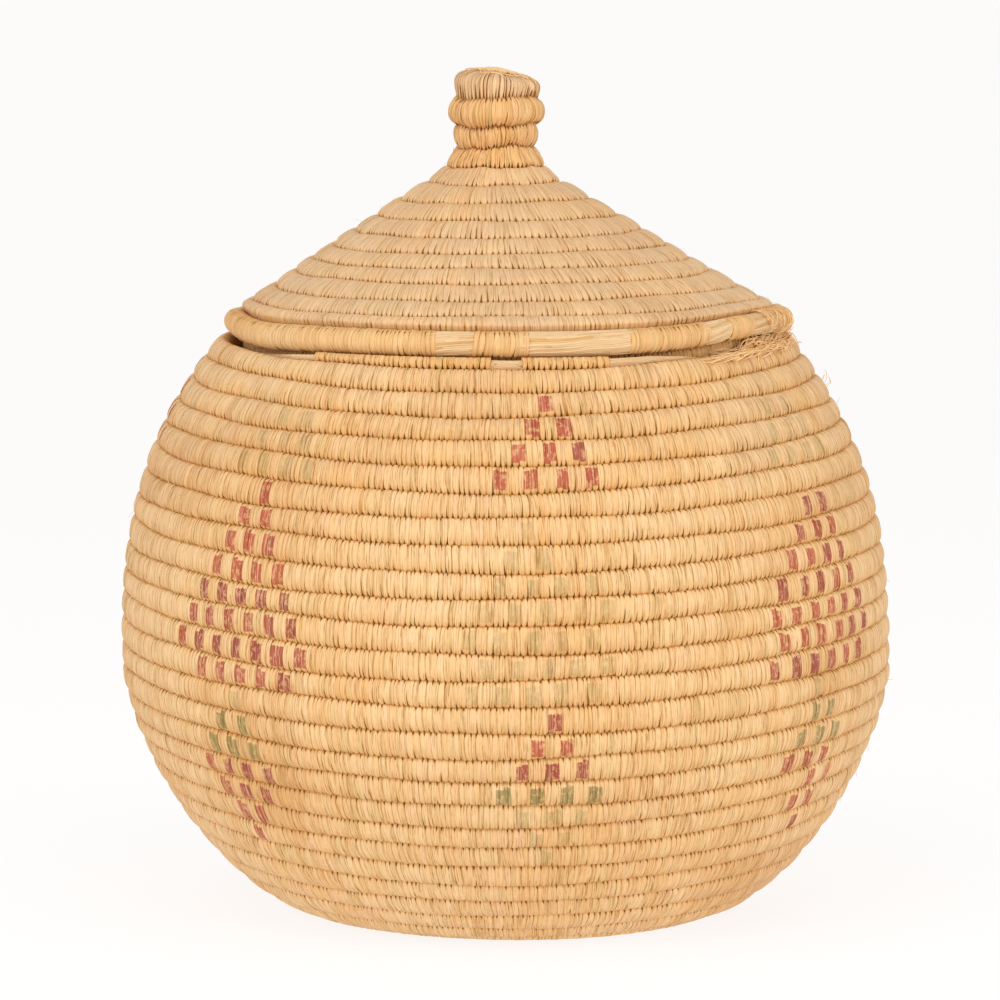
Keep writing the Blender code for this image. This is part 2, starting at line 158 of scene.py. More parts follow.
# The wraps lie shut against each other, or gape a little at the row's lower edge in a small hole
# or a longer slit, and are drawn in at both edges. Places and reaches across a row run from 0 at
# its lower edge to 1 at its upper one; depths are in metres.
SHUT_DEPTH = 0.00007
HOLE_DEPTH = 0.00036
NOTCHED_SHARE = 0.66
NOTCH_PLACE, NOTCH_REACH = 0.955, 0.052
LOWER_PINCH, LOWER_REACH = 0.15, 0.08
UPPER_PINCH, UPPER_REACH = 0.12, 0.07
FOOT_REACH = 0.10
# VALLEY_REACH is how far from a row's edge its painted valley shade reaches
VALLEY_REACH = 0.05
SHOULDER = 0.11
CROWN = 0.00002
DYED_SINK = 0.00012
# FULL_HOLLOW is the depth of a gap at which its painted shade is darkest
FULL_HOLLOW = 0.0003


def lay_wraps(length, pitch, blocks, rng):
    """Edges of the wraps along a bundle, with each dyed block as one broad wrap; and which block each is."""
    edges, block_of = [np.zeros(1)], []
    at = 0.0
    for number, (start, stop) in enumerate(list(blocks) + [(length, None)]):
        if start - at > 0.3 * pitch:
            count = max(1, round((start - at) / pitch))
            widths = rng.uniform(0.68, 1.32, count)
            steps = np.cumsum(widths) * (start - at) / widths.sum()
            edges.append(at + steps)
            block_of += [-1] * count
        if stop is not None:
            edges.append(np.array([(start + stop) / 2, stop]))
            block_of += [number, number]
            at = stop
    return np.concatenate(edges), np.array(block_of)


def smooth_noise(count, reach, rng):
    """Random numbers that change slowly from one wrap to the next, between about -1 and 1."""
    knots = rng.uniform(-1, 1, count // reach + 3)
    return np.interp(np.arange(count) / reach, np.arange(len(knots)), knots)


class Wraps:
    """Every wrap of one bundle: where its edges lie, how it leans and how deep the gaps beside it are."""

    def __init__(self, coil, first, last, pitch, blocks=(), seed=1, slit=1.0, slit_share=0.3, loose=1.0,
                 deep=1.0, notch=1.0, holes=0.5, pairs=0.0):
        rng = np.random.default_rng(seed)
        self.coil = coil
        turns = np.linspace(first, last, int((last - first) * 720) + 2)
        r = coil.radius(turns)
        self.way = np.concatenate([[0], np.cumsum(np.diff(turns) * np.pi * (r[1:] + r[:-1]))])
        self.turns = turns
        spans = sorted((self.way_at(a), self.way_at(b), kind) for a, b, kind in blocks)
        kinds = np.array([kind for _, _, kind in spans] + [0])
        edges, block_of = lay_wraps(self.way[-1], pitch, [span[:2] for span in spans], rng)
        self.edges = edges
        self.kind = kinds[block_of] * (block_of >= 0)
        count = len(edges)
        self.lean = 0.34 * pitch * smooth_noise(count, 19, rng) + 0.16 * pitch * rng.uniform(-1, 1, count)
        self.bow = 0.14 * pitch * smooth_noise(count, 11, rng) + 0.08 * pitch * rng.uniform(-1, 1, count)
        self.lean = self.lean * loose + pairs * pitch * np.where(np.arange(count) % 2, 0.5, -0.5)
        self.bow = self.bow * loose
        self.groove = deep * (0.00001 + 0.00015 * rng.random(count) ** 3)
        gap = rng.random(count)
        slit_there, hole_there = gap < slit_share, gap < slit_share + holes
        slit_depth = 0.0004 + 0.0005 * rng.random(count)
        self.slit = slit * np.select([slit_there, hole_there], [slit_depth, HOLE_DEPTH], SHUT_DEPTH)
        long_slit, short_slit = 0.10 + 0.32 * rng.random(count) ** 2, 0.08 + 0.04 * rng.random(count)
        self.slit_length = np.where(slit_there, long_slit, short_slit)
        notched, notch_depth = rng.random(count) < NOTCHED_SHARE, 0.00026 + 0.00014 * rng.random(count)
        self.notch = notch * np.where(notched, notch_depth, 0.00006)
        self.foot = 0.00015 * rng.uniform(-1, 1, count)
        self.height = 0.00005 * loose * rng.uniform(-1, 1, count)
        self.tilt = 0.00008 * loose * rng.uniform(-1, 1, count)
        inner = np.append(np.diff(block_of) == 0, False) & (block_of >= 0)
        within = np.flatnonzero(inner) + 1
        self.groove[within], self.slit[within], self.notch[within] = 0.00002, 0.0002, 0.0001
        self.lean[within], self.bow[within] = 0, 0

    def way_at(self, turns):
        """Metres along the bundle at this turn."""
        return float(np.interp(turns, self.turns, self.way))

    def wraps_between(self, first, last):
        """The first and last edge of the wraps that start in this stretch of the coil."""
        low, high = self.way_at(first), self.way_at(last)
        return np.searchsorted(self.edges, low - 1e-9), np.searchsorted(self.edges, high - 1e-9)


def ring_points(wraps, ring, begin, end):
    """Points, hollows and bundle positions of the wraps between two edges: four columns for each wrap."""
    count = end - begin
    index = np.repeat(np.arange(begin, end + 1), 4)[: 4 * count + 1]
    step = np.tile(np.arange(4), count + 1)[: 4 * count + 1]
    after = np.minimum(index + 1, len(wraps.edges) - 1)
    rise = (ring.rise if wraps.coil.sense < 0 else 1 - ring.rise)[None, :]

    def edge_line(which):
        lean = wraps.lean[which][:, None] * (rise - 0.5)
        bow = wraps.bow[which][:, None] * (1 - (2 * rise - 1) ** 2)
        return wraps.edges[which][:, None] + lean + bow

    slit = wraps.slit[:, None] * np.exp(-((rise / wraps.slit_length[:, None]) ** 2))
    notch = wraps.notch[:, None] * np.exp(-(((NOTCH_PLACE - rise) / NOTCH_REACH) ** 2))
    pinch = LOWER_PINCH * np.exp(-((rise / LOWER_REACH) ** 2))
    pinch = pinch + UPPER_PINCH * np.exp(-(((1 - rise) / UPPER_REACH) ** 2))
    share = np.select(
        [step[:, None] == 0, step[:, None] == 1, step[:, None] == 2],
        [0 * pinch, SHOULDER + pinch, 0.5 + 0 * pinch],
        1 - SHOULDER - pinch,
    )
    left, right = edge_line(index), edge_line(after)
    way = left + share * (right - left)
    depth = (wraps.groove[:, None] + slit + notch)[index]
    crown = np.select(
        [step == 1, step == 2],
        [wraps.height[index] - wraps.tilt[index], wraps.height[index] + CROWN],
        wraps.height[index] + wraps.tilt[index],
    )
    crown = crown - DYED_SINK * (np.append(wraps.kind, 0)[index] > 0)
    uneven = wraps.foot[index][:, None] * np.exp(-((rise / FOOT_REACH) ** 2))
    lift = np.where(step[:, None] == 0, -depth, crown[:, None] + uneven)
    turns = np.interp(way, wraps.way, wraps.turns)
    radius, height = wraps.coil.around(turns, ring, lift)
    radius = np.maximum(radius, 0.0002)
    angle = wraps.coil.azimuth(turns)
    points = wraps.coil.place(radius * np.cos(angle), radius * np.sin(angle), height)
    # Painted shade: dark in the holes and slits at the gaps, and a little all along the row's two edges.
    valley = np.exp(-((np.minimum(rise, 1 - rise) / VALLEY_REACH) ** 2))
    hollow = np.where(step[:, None] == 0, np.clip((slit + notch)[index] / FULL_HOLLOW, 0, 1), 0)
    return np.stack(points, -1), np.clip(hollow + 0.15 * valley, 0, 1), turns, index - begin, share


def mesh_from(name, points, quads, caps=()):
    """A smooth mesh of four-sided faces, with flat faces that close its ends."""
    mesh = bpy.data.meshes.new(name)
    mesh.vertices.add(len(points))
    mesh.vertices.foreach_set("co", np.asarray(points, np.float32).ravel())
    sizes = np.array([4] * len(quads) + [len(cap) for cap in caps])
    corners = np.concatenate([np.asarray(quads).ravel()] + [np.asarray(cap) for cap in caps])
    mesh.loops.add(len(corners))
    mesh.loops.foreach_set("vertex_index", corners.astype(np.int32))
    mesh.polygons.add(len(sizes))
    mesh.polygons.foreach_set("loop_start", np.concatenate([[0], np.cumsum(sizes)[:-1]]).astype(np.int32))
    mesh.polygons.foreach_set("use_smooth", np.arange(len(sizes)) < len(quads))
    mesh.update(calc_edges=True)
    return mesh


def dress(name, mesh, material, **layers):
    """Give a mesh its map layers and attributes, its material and its object."""
    for label, values in layers.items():
        values = np.asarray(values, np.float32)
        if values.ndim == 1:
            mesh.attributes.new(label, "FLOAT", "POINT").data.foreach_set("value", values)
        elif values.shape[1] == 2:
            mesh.uv_layers.new(name=label).data.foreach_set("uv", values.ravel())
        else:
            mesh.attributes.new(label, "FLOAT_COLOR", "FACE").data.foreach_set("color", values.ravel())
    mesh.materials.append(material)
    piece = bpy.data.objects.new(name, mesh)
    bpy.context.scene.collection.objects.link(piece)
    return piece


# The part of a piece's own map that its sides fill; its two ends lie beside them
MAP_EDGE, MAP_WIDTH, MAP_HEIGHT = 0.01, 0.94, 0.98


def wrapped_bundle(name, wraps, ring, begin, end, material):
    """One closed stretch of a wrapped bundle, with its strands' lines, hollows and dyes."""
    points, hollow, turns, wrap, share = ring_points(wraps, ring, begin, end)
    columns, size = points.shape[:2]
    column, place = np.meshgrid(np.arange(columns - 1), np.arange(size), indexing="ij")
    beside = (place + 1) % size
    corners = [(0, 0), (1, 0), (1, 1), (0, 1)]
    if wraps.coil.sense > 0:
        corners = corners[::-1]
    quads = np.stack([(column + right) * size + (beside if up else place) for right, up in corners], -1)
    caps = [np.arange(size)[::-1], (columns - 1) * size + np.arange(size)]
    if wraps.coil.sense > 0:
        caps = [cap[::-1] for cap in caps]
    mesh = mesh_from(name, points.reshape(-1, 3), quads.reshape(-1, 4), caps)
    stitch = np.append(ring.stitch, ring.stitch[0] + 2)
    length = np.interp(wraps.edges[begin : end + 1], wraps.way, wraps.turns) - turns.min()
    strip = np.floor(length[:-1] + 1e-9)
    strips = strip[-1] + 1
    strand, bake = [], []
    for right, up in corners:
        spot, at = place + up, column + right
        across = np.where((at % 4 == 0) & (right == 1), 1.0, share[at, spot % size])
        strand.append(np.stack([(begin + wrap[column]) % 1500 + across, stitch[spot]], -1))
        own = strip[wrap[column]]
        along = turns[at, spot % size] - turns.min() - own
        height = (own + MAP_EDGE + MAP_HEIGHT * ring.round[spot]) / strips
        bake.append(np.stack([MAP_EDGE + MAP_WIDTH * along, height], -1))
    strand, bake = [np.stack(values, 2).reshape(-1, 2) for values in (strand, bake)]
    circle = np.linspace(0, 2 * np.pi, size, endpoint=False)
    for number, cap in enumerate(caps):
        strand = np.concatenate([strand, np.tile([begin + 0.5, 0.5], (size, 1))])
        spot = np.stack([0.992 + 0.004 * np.cos(circle), 0.3 + 0.4 * number + 0.004 * np.sin(circle)], -1)
        bake = np.concatenate([bake, spot])
    kind = np.append(wraps.kind[begin + wrap[column].ravel()], [0, 0])
    dye = np.array(DYES)[kind]
    return dress(name, mesh, material, OFBake=bake, strand=strand, hollow=hollow.ravel(), dye=dye)


def outline_of_pot():
    """Flat base, belly and shoulder, up to the level of the mouth."""
    base = np.linspace(0, FOOT_RADIUS, 120)[:-1]
    rise = 1 - np.cos(np.linspace(0, np.pi / 2, 240))
    share = np.maximum(1 - (1 - rise) ** LOWER_BEND, 0) ** LOWER_FULLNESS
    up = np.linspace(0, 1, 120)[1:]
    upper_r = BELLY_RADIUS - (BELLY_RADIUS - MOUTH_RADIUS) * up**SHOULDER_BEND
    r = np.concatenate([base, FOOT_RADIUS + (BELLY_RADIUS - FOOT_RADIUS) * share, upper_r])
    upper_z = BELLY_HEIGHT + (POT_HEIGHT - BELLY_HEIGHT) * up
    z = np.concatenate([np.zeros(len(base)), BELLY_HEIGHT * rise, upper_z])
    return Outline(r, z, 1)


def pot_shift(z):
    """The hand-built wall leans a little, and only its belly is centred on the origin."""
    return FOOT_SHIFT * ((1 - z / POT_HEIGHT) ** 3 - (1 - BELLY_HEIGHT / POT_HEIGHT) ** 3)


def place_pot(x, y, z):
    """A point of the pot, where its leaning wall has it, and never below the floor."""
    return x + pot_shift(z), y, np.maximum(z, 0.0)


POT_OUTLINE = outline_of_pot()
coil_length = POT_OUTLINE.length - POT_KNOT_RADIUS
pot_rows = round(coil_length / POT_ROW - MOUTH_ROW_SHARE)
pot_edges = POT_KNOT_RADIUS + coil_length / (pot_rows + MOUTH_ROW_SHARE) * np.arange(-1, pot_rows + 3)
pot_coil = Coil(POT_OUTLINE, pot_edges, pot_rows, -1, place_pot, SIDE_RISE)


# The dyed figures. Eight times round the pot a strand of red or green grass replaces the plain
# one for two stitches, then the plain one comes back for two: triangles at the shoulder and
# below, and between them a stepped lozenge. Two kinds of figure take turns.
BLOCK_WIDTH = 0.0038
RED, GREEN, FADED_GREEN = 1, 2, 3
# How much red and how much green a strand holds: a plain one first, and then each dye
DYES = [(0, 0, 0, 1), (0.95, 0, 0, 1), (0, 0.8, 0, 1), (0, 0.32, 0, 1)]
# Rows below the mouth, blocks in the row, their dye, and how far the row is off the figure's middle
RED_TOPPED = [
    (2, 1, RED, 0.3), (3, 2, RED, 0.3), (4, 3, RED, 0.3), (5, 4, RED, 0.2),
    (7, 1, FADED_GREEN, -0.5), (8, 2, FADED_GREEN, -0.5), (9, 4, FADED_GREEN, 0.1), (10, 5, FADED_GREEN, 0.1),
    (11, 5, FADED_GREEN, -0.4), (12, 5, FADED_GREEN, 0.1), (13, 5, FADED_GREEN, -0.4),
    (14, 1, RED, 0.3), (15, 2, RED, 0.2), (16, 3, RED, 0.2),
    (17, 4, GREEN, 0.2), (18, 3, FADED_GREEN, 0.3), (19, 2, FADED_GREEN, 0.2), (20, 1, FADED_GREEN, 0.1),
]
GREEN_TOPPED = [
    (3, 2, FADED_GREEN, 0.4), (4, 3, FADED_GREEN, 0.2), (5, 4, FADED_GREEN, 0.1),
    (6, 1, RED, 0.0), (7, 2, RED, -0.2), (8, 3, RED, -0.3), (9, 4, RED, -0.3), (10, 5, RED, -0.5),
    (11, 6, RED, -0.6), (12, 7, RED, -0.7), (13, 5, RED, -0.4),
    (14, 1, FADED_GREEN, -0.8), (15, 2, GREEN, -1.0), (16, 3, GREEN, -1.2),
    (17, 4, RED, -1.3), (18, 3, RED, -1.2), (19, 2, RED, -1.4), (20, 1, RED, -1.5),
]
GREEN_TOPPED_RIGHT = [
    (3, 2, FADED_GREEN, 0.7), (4, 3, FADED_GREEN, 0.9), (5, 4, FADED_GREEN, 1.0),
    (7, 2, RED, 1.0), (8, 3, RED, 0.8), (9, 4, RED, 0.7), (10, 5, RED, 0.6),
    (11, 6, RED, 0.6), (12, 6, RED, 1.0), (13, 6, RED, 0.5),
    (14, 1, FADED_GREEN, 0.3), (15, 2, GREEN, 0.6), (16, 3, GREEN, 0.6),
    (17, 3, RED, 0.3), (18, 2, RED, 1.3), (19, 2, RED, 0.8), (20, 1, RED, 0.9),
]
# Degrees to the right of the front, the way from block to block, and the rows
FIGURES = [
    (-39.5, 0.0079, GREEN_TOPPED), (5.5, 0.0086, RED_TOPPED), (50.5, 0.0086, GREEN_TOPPED_RIGHT),
    (98.5, 0.0084, RED_TOPPED), (143, 0.0084, GREEN_TOPPED), (187, 0.0084, RED_TOPPED),
    (231, 0.0084, GREEN_TOPPED), (272, 0.0084, RED_TOPPED),
]


def dyed_blocks(coil):
    """Start, end and dye of every dyed block, in turns along the pot's coil."""
    blocks, rng = [], np.random.default_rng(3)
    for middle, pitch, rows in FIGURES:
        for below, count, dye, off in rows:
            row = coil.rows - below
            turns = row + coil.turns_at((middle + 180) % 360 - 180)
            round_r = float(coil.radius(np.array([turns]))[0])
            for number in range(count):
                place = (number - (count - 1) / 2 + off + rng.uniform(-0.07, 0.07)) * pitch
                at = turns + coil.sense * place / (2 * math.pi * round_r)
                half = BLOCK_WIDTH * rng.uniform(0.84, 1.18) / 2 / (2 * math.pi * round_r)
                blocks.append((at - half, at + half, dye))
    return blocks


# The grass of the pot. The strand is a split stem, flat and dry, with fine fibres along it and a
# silky shine. Every stitch has a tone of its own, from straw to tan. Dust lies on the shoulder, the
# lower side of each row is painted darker as shade, the valleys and holes between rows carry painted
# shade, and the dyes are worn where a stitch is bent.
def new_group(name, colours, numbers, outputs):
    """An empty shader node group with named colour and number inputs."""
    tree = bpy.data.node_groups.new(name, "ShaderNodeTree")
    for label, value in colours.items():
        socket = tree.interface.new_socket(label, in_out="INPUT", socket_type="NodeSocketColor")
        socket.default_value = (*value, 1)
    for label, value in numbers.items():
        socket = tree.interface.new_socket(label, in_out="INPUT", socket_type="NodeSocketFloat")
        socket.default_value = value
    for label, kind in outputs.items():
        tree.interface.new_socket(label, in_out="OUTPUT", socket_type=kind)
    return tree, tree.nodes.new("NodeGroupInput"), tree.nodes.new("NodeGroupOutput")


def wire(tree, socket, value):
    if isinstance(value, bpy.types.NodeSocket):
        tree.links.new(value, socket)
    elif hasattr(value, "__len__") and len(socket.default_value) == 4 and len(value) == 3:
        socket.default_value = (*value, 1)
    else:
        socket.default_value = value


def calculate(tree, operation, *values, clamp=False):
    node = tree.nodes.new("ShaderNodeMath")
    node.operation, node.use_clamp = operation, clamp
    for socket, value in zip(node.inputs, values):
        wire(tree, socket, value)
    return node.outputs[0]


def ease(tree, value, low, high):
    """0 below low, 1 above high, and smooth between them."""
    node = tree.nodes.new("ShaderNodeMapRange")
    node.interpolation_type = "SMOOTHSTEP"
    wire(tree, node.inputs["Value"], value)
    wire(tree, node.inputs["From Min"], low)
    wire(tree, node.inputs["From Max"], high)
    return node.outputs["Result"]


def blend_colours(tree, share, a, b, kind="MIX"):
    node = tree.nodes.new("ShaderNodeMix")
    node.data_type, node.blend_type = "RGBA", kind
    wire(tree, node.inputs["Factor"], share)
    wire(tree, node.inputs[6], a)
    wire(tree, node.inputs[7], b)
    return node.outputs[2]


def combine(tree, x, y, z):
    node = tree.nodes.new("ShaderNodeCombineXYZ")
    for socket, value in zip(node.inputs, (x, y, z)):
        wire(tree, socket, value)
    return node.outputs[0]


def noise(tree, vector, scale, detail, roughness=0.5):
    node = tree.nodes.new("ShaderNodeTexNoise")
    wire(tree, node.inputs["Vector"], vector)
    wire(tree, node.inputs["Scale"], scale)
    wire(tree, node.inputs["Detail"], detail)
    wire(tree, node.inputs["Roughness"], roughness)
    return node.outputs["Fac"]


def random_for(tree, number):
    node = tree.nodes.new("ShaderNodeTexWhiteNoise")
    node.noise_dimensions = "1D"
    wire(tree, node.inputs["W"], number)
    return node.outputs["Value"]


def grass_strand_group():
    """Colour of a flat sewn strand: its own tone, the fibres along it, painted shade in the holes, the
    valleys and under each row, and the dyes.
    """
    colours = {
        "Pale": (0.91, 0.61, 0.31), "Golden": (0.85, 0.49, 0.19), "Tan": (0.74, 0.39, 0.14),
        "Olive": (0.70, 0.48, 0.20), "Rosy": (0.88, 0.49, 0.27), "Dust": (0.67, 0.45, 0.26),
        "Line tint": (0.50, 0.33, 0.12), "Painted valley shade": (0.86, 0.70, 0.36), "Painted hole shade": (0.25, 0.112, 0.013),
        "Red": (0.52, 0.100, 0.045), "Crimson": (0.37, 0.066, 0.046), "Green": (0.25, 0.21, 0.05),
        "Underside tint": (0.94, 0.87, 0.74), "Stain": (0.86, 0.75, 0.64),
    }
    numbers = {"Tone": 0.0, "Fibres": 1.0, "Dustiness": 0.0, "Streaks": 1.0, "Variety": 1.0, "Underside": 0.0}
    outputs = {"Color": "NodeSocketColor", "Height": "NodeSocketFloat", "Roughness": "NodeSocketFloat"}
    tree, inputs, output = new_group("Grass strand", colours, numbers, outputs)
    given = inputs.outputs

    def times(a, b):
        return calculate(tree, "MULTIPLY", a, b)

    def add(a, share, b):
        return calculate(tree, "MULTIPLY_ADD", a, share, b)

    def less(a, b):
        return calculate(tree, "SUBTRACT", a, b)

    def off(value):
        return less(value, 0.5)

    def grain(across_scale, along_scale, shift, roughness):
        spot = combine(tree, times(across, across_scale), times(along, along_scale), times(wrap, shift))
        return noise(tree, spot, 1.0, 2.0, roughness)

    def tinted(colour, share, label):
        tint = blend_colours(tree, share, (1, 1, 1), given[label])
        return blend_colours(tree, 1.0, colour, tint, "MULTIPLY")

    uv = tree.nodes.new("ShaderNodeUVMap")
    uv.uv_map = "strand"
    split = tree.nodes.new("ShaderNodeSeparateXYZ")
    tree.links.new(uv.outputs[0], split.inputs[0])
    x, y = split.outputs[0], split.outputs[1]
    wrap = calculate(tree, "FLOOR", x)
    across = calculate(tree, "FRACT", x)
    # Three random numbers for each wrap, and one for each length of strand
    own, second, third = [random_for(tree, calculate(tree, "ADD", wrap, more)) for more in (0.0, 0.37, 0.59)]
    bent = calculate(tree, "SINE", times(wrap, 0.173))
    strand = random_for(tree, add(1.0, 0.71, calculate(tree, "FLOOR", times(add(bent, 6.0, wrap), 0.11))))
    place = tree.nodes.new("ShaderNodeTexCoord").outputs["Object"]
    along = times(y, given["Streaks"])
    thin = grain(5.0, 0.7, 0.731, 0.5)
    fine = grain(11.0, 2.0, 1.317, 0.6)

    # The grass's own tones, its stains and its dust
    tone = add(off(strand), 0.16, times(off(own), 0.28))
    tone = add(off(noise(tree, place, 26.0, 2.0)), 1.0, tone)
    tone = add(off(thin), 0.45, tone)
    tone = add(tone, given["Variety"], calculate(tree, "ADD", given["Tone"], 0.25))
    colour = blend_colours(tree, ease(tree, tone, 0.0, 0.60), given["Pale"], given["Golden"])
    colour = blend_colours(tree, ease(tree, tone, 0.55, 1.10), colour, given["Tan"])
    olive = times(times(ease(tree, third, 0.60, 1.0), 0.36), given["Variety"])
    colour = blend_colours(tree, olive, colour, given["Olive"])
    rosy = times(times(ease(tree, third, 0.30, 0.0), 0.30), given["Variety"])
    colour = blend_colours(tree, rosy, colour, given["Rosy"])
    stained = times(times(ease(tree, noise(tree, place, 19.0, 3.0), 0.54, 0.72), 0.62), given["Variety"])
    colour = tinted(colour, stained, "Stain")
    heights = tree.nodes.new("ShaderNodeSeparateXYZ")
    tree.links.new(place, heights.inputs[0])
    dusty = ease(tree, noise(tree, place, 60.0, 3.0), 0.30, 0.70)
    dusty = times(dusty, ease(tree, heights.outputs[2], 0.09, 0.165))
    colour = blend_colours(tree, times(dusty, given["Dustiness"]), colour, given["Dust"])

    # The shade under the row, and the dyes, worn off where a stitch bends and along its crinkles
    dye = tree.nodes.new("ShaderNodeAttribute")
    dye.attribute_name = "dye"
    amounts = tree.nodes.new("ShaderNodeSeparateXYZ")
    tree.links.new(dye.outputs["Vector"], amounts.inputs[0])
    outside = less(1.0, calculate(tree, "ABSOLUTE", less(y, 1.0)))
    rise = add(off(thin), 0.14, calculate(tree, "MINIMUM", outside, y))
    # Painted shade: the lower part of each row is coloured darker and more golden, as shade under light from
    # above.
    under = times(ease(tree, outside, 0.58, 0.02), given["Underside"])
    colour = tinted(colour, under, "Underside tint")
    low, high = add(own, 0.12, 0.03), add(second, 0.13, 0.76)
    worn_low = ease(tree, rise, low, calculate(tree, "ADD", low, 0.04))
    worn_high = ease(tree, rise, calculate(tree, "ADD", high, 0.04), high)
    crinkled = add(noise(tree, place, 700.0, 1.0), 2.6, times(across, 2.2))
    crinkle = noise(tree, combine(tree, crinkled, times(y, 4.0), times(wrap, 0.9)), 1.0, 1.0, 0.5)
    there = times(times(worn_low, worn_high), add(ease(tree, crinkle, 0.64, 0.52), 0.50, 0.50))
    red = blend_colours(tree, ease(tree, add(thin, 1.0, strand), 0.6, 1.3), given["Red"], given["Crimson"])
    colour = blend_colours(tree, times(amounts.outputs[0], there), colour, red)
    colour = blend_colours(tree, times(amounts.outputs[1], there), colour, given["Green"])

    # Dark lines between the wraps and between their fibres, and painted shade in the valleys and the holes
    # along the row
    edge = calculate(tree, "MINIMUM", across, less(1.0, across))
    border = times(ease(tree, edge, 0.11, 0.02), add(times(second, times(second, second)), 0.75, 0.08))
    fibres = add(ease(tree, thin, 0.46, 0.36), 0.46, times(ease(tree, fine, 0.47, 0.36), 0.38))
    dark = calculate(tree, "ADD", border, times(fibres, given["Fibres"]), clamp=True)
    colour = tinted(colour, dark, "Line tint")
    colour = blend_colours(tree, times(ease(tree, thin, 0.54, 0.66), 0.42), colour, given["Pale"])
    hollow = tree.nodes.new("ShaderNodeAttribute")
    hollow.attribute_name = "hollow"
    # Painted shade: the valleys are tinted deeper, and the deepest gaps take the dark hole colour.
    valley_shade = ease(tree, hollow.outputs["Fac"], 0.04, 0.30)
    deep = ease(tree, hollow.outputs["Fac"], 0.28, 0.52)
    colour = tinted(colour, valley_shade, "Painted valley shade")
    colour = blend_colours(tree, deep, colour, given["Painted hole shade"])
    wire(tree, output.inputs["Color"], colour)
    wire(tree, output.inputs["Height"], add(fine, 0.5, thin))
    dull = calculate(tree, "ADD", valley_shade, dark, clamp=True)
    wire(tree, output.inputs["Roughness"], add(dull, 0.35, add(thin, -0.25, 0.66)))
    return tree


strand_group = grass_strand_group()


def grass_finish(name, **values):
    """A material of sewn strands, with a faint silky shine along the fibres."""
    material = bpy.data.materials.new(name)
    material.use_nodes = True
    tree = material.node_tree
    surface = tree.nodes["Principled BSDF"]
    group = tree.nodes.new("ShaderNodeGroup")
    group.node_tree = strand_group
    for label, value in values.items():
        wire(tree, group.inputs[label], value)
    tree.links.new(group.outputs["Color"], surface.inputs["Base Color"])
    tree.links.new(group.outputs["Roughness"], surface.inputs["Roughness"])
    surface.inputs["Specular IOR Level"].default_value = 0.36
    bump = tree.nodes.new("ShaderNodeBump")
    bump.inputs["Strength"].default_value = 0.7
    bump.inputs["Distance"].default_value = 0.0002
    tree.links.new(group.outputs["Height"], bump.inputs["Height"])
    tree.links.new(bump.outputs["Normal"], surface.inputs["Normal"])
    return material


pot_grass = grass_finish("sewn grass of the pot", Underside=1.0, Dustiness=0.35, Fibres=1.25)
pot_ring = Ring(ROUNDNESS)
pot_end = pot_coil.rows + pot_coil.turns_at(60.0)
pot_wraps = Wraps(pot_coil, -1.5, pot_end, STITCH_PITCH, dyed_blocks(pot_coil), 11)

# Where the solids are parted, at the back of the pot, so the pieces are too
BASE_TURNS = math.floor((FOOT_RADIUS - POT_KNOT_RADIUS) / pot_coil.row - 1 - SWAY) - 0.5
belly_line = np.interp(BELLY_HEIGHT, pot_coil.outline.lines[1], pot_coil.outline.s)
BELLY_TURNS = round((belly_line - POT_KNOT_RADIUS) / pot_coil.row) - 0.5


def coil_pieces(name, wraps, ring, first, last, material, body, slot, *nodes):
    """A stretch of the coil, in as many pieces as it needs to stay light."""
    begin, end = wraps.wraps_between(first, last)
    if last >= wraps.turns[-1] - 1e-9:
        end = len(wraps.edges) - 1
    count = math.ceil((end - begin) / MOST_WRAPS)
    cuts = np.linspace(begin, end, count + 1).astype(int)
    for number, (low, high) in enumerate(zip(cuts[:-1], cuts[1:])):
        piece = wrapped_bundle(f"{name}_{number + 1}", wraps, ring, low, high, material)
        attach(piece, body)
        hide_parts(*nodes)


for name, first, last, *nodes in (
    ("base", -1.5, BASE_TURNS, "base_knot", "base_coil"),
    ("lower_wall", BASE_TURNS, BELLY_TURNS, "lower_wall_coil"),
    ("upper_wall", BELLY_TURNS, pot_end, "upper_wall_coil"),
):
    coil_pieces(name, pot_wraps, pot_ring, first, last, pot_grass, "pot", "sewn_grass", *nodes)


# The worn end of the pot's coil. The last length of the bundle lies along the mouth. Its wraps
# are still whole across the front, and have broken away at both ends, where the straws of the
# bundle lie bare and thin out: at the right to a broken stump, at the left to a long tail.
MOUTH_WRAPS_RIGHT = 20.5
MOUTH_WRAPS_LEFT = -39.5
MOUTH_BARE_SPOT = (3.2, -2.6)
STUMP_END = 43.0
TAIL_END = -59.0
BARE_SHARE = 0.86
STRAWS_IN_BUNDLE = 22
# How far along a straw its fibres' pattern runs before it has gone as far as round one wrap
STRAND_LENGTH = 0.009

bare_straw = grass_finish(
    "bare straw", Pale=(0.90, 0.64, 0.36), Golden=(0.85, 0.54, 0.27), Tan=(0.72, 0.42, 0.19),
    Tone=-0.1, Fibres=0.6, **{"Painted valley shade": (0.88, 0.74, 0.50)},
)
# The mouth's row gets a darker copy of the grass: painted shade, for the shade of the lid's rim above it.
mouth_grass = grass_finish(
    "grass of the mouth, darker as painted shade", Pale=(0.85, 0.52, 0.22), Golden=(0.75, 0.40, 0.12), Tan=(0.55, 0.26, 0.07),
    Fibres=1.2, Underside=0.5,
)


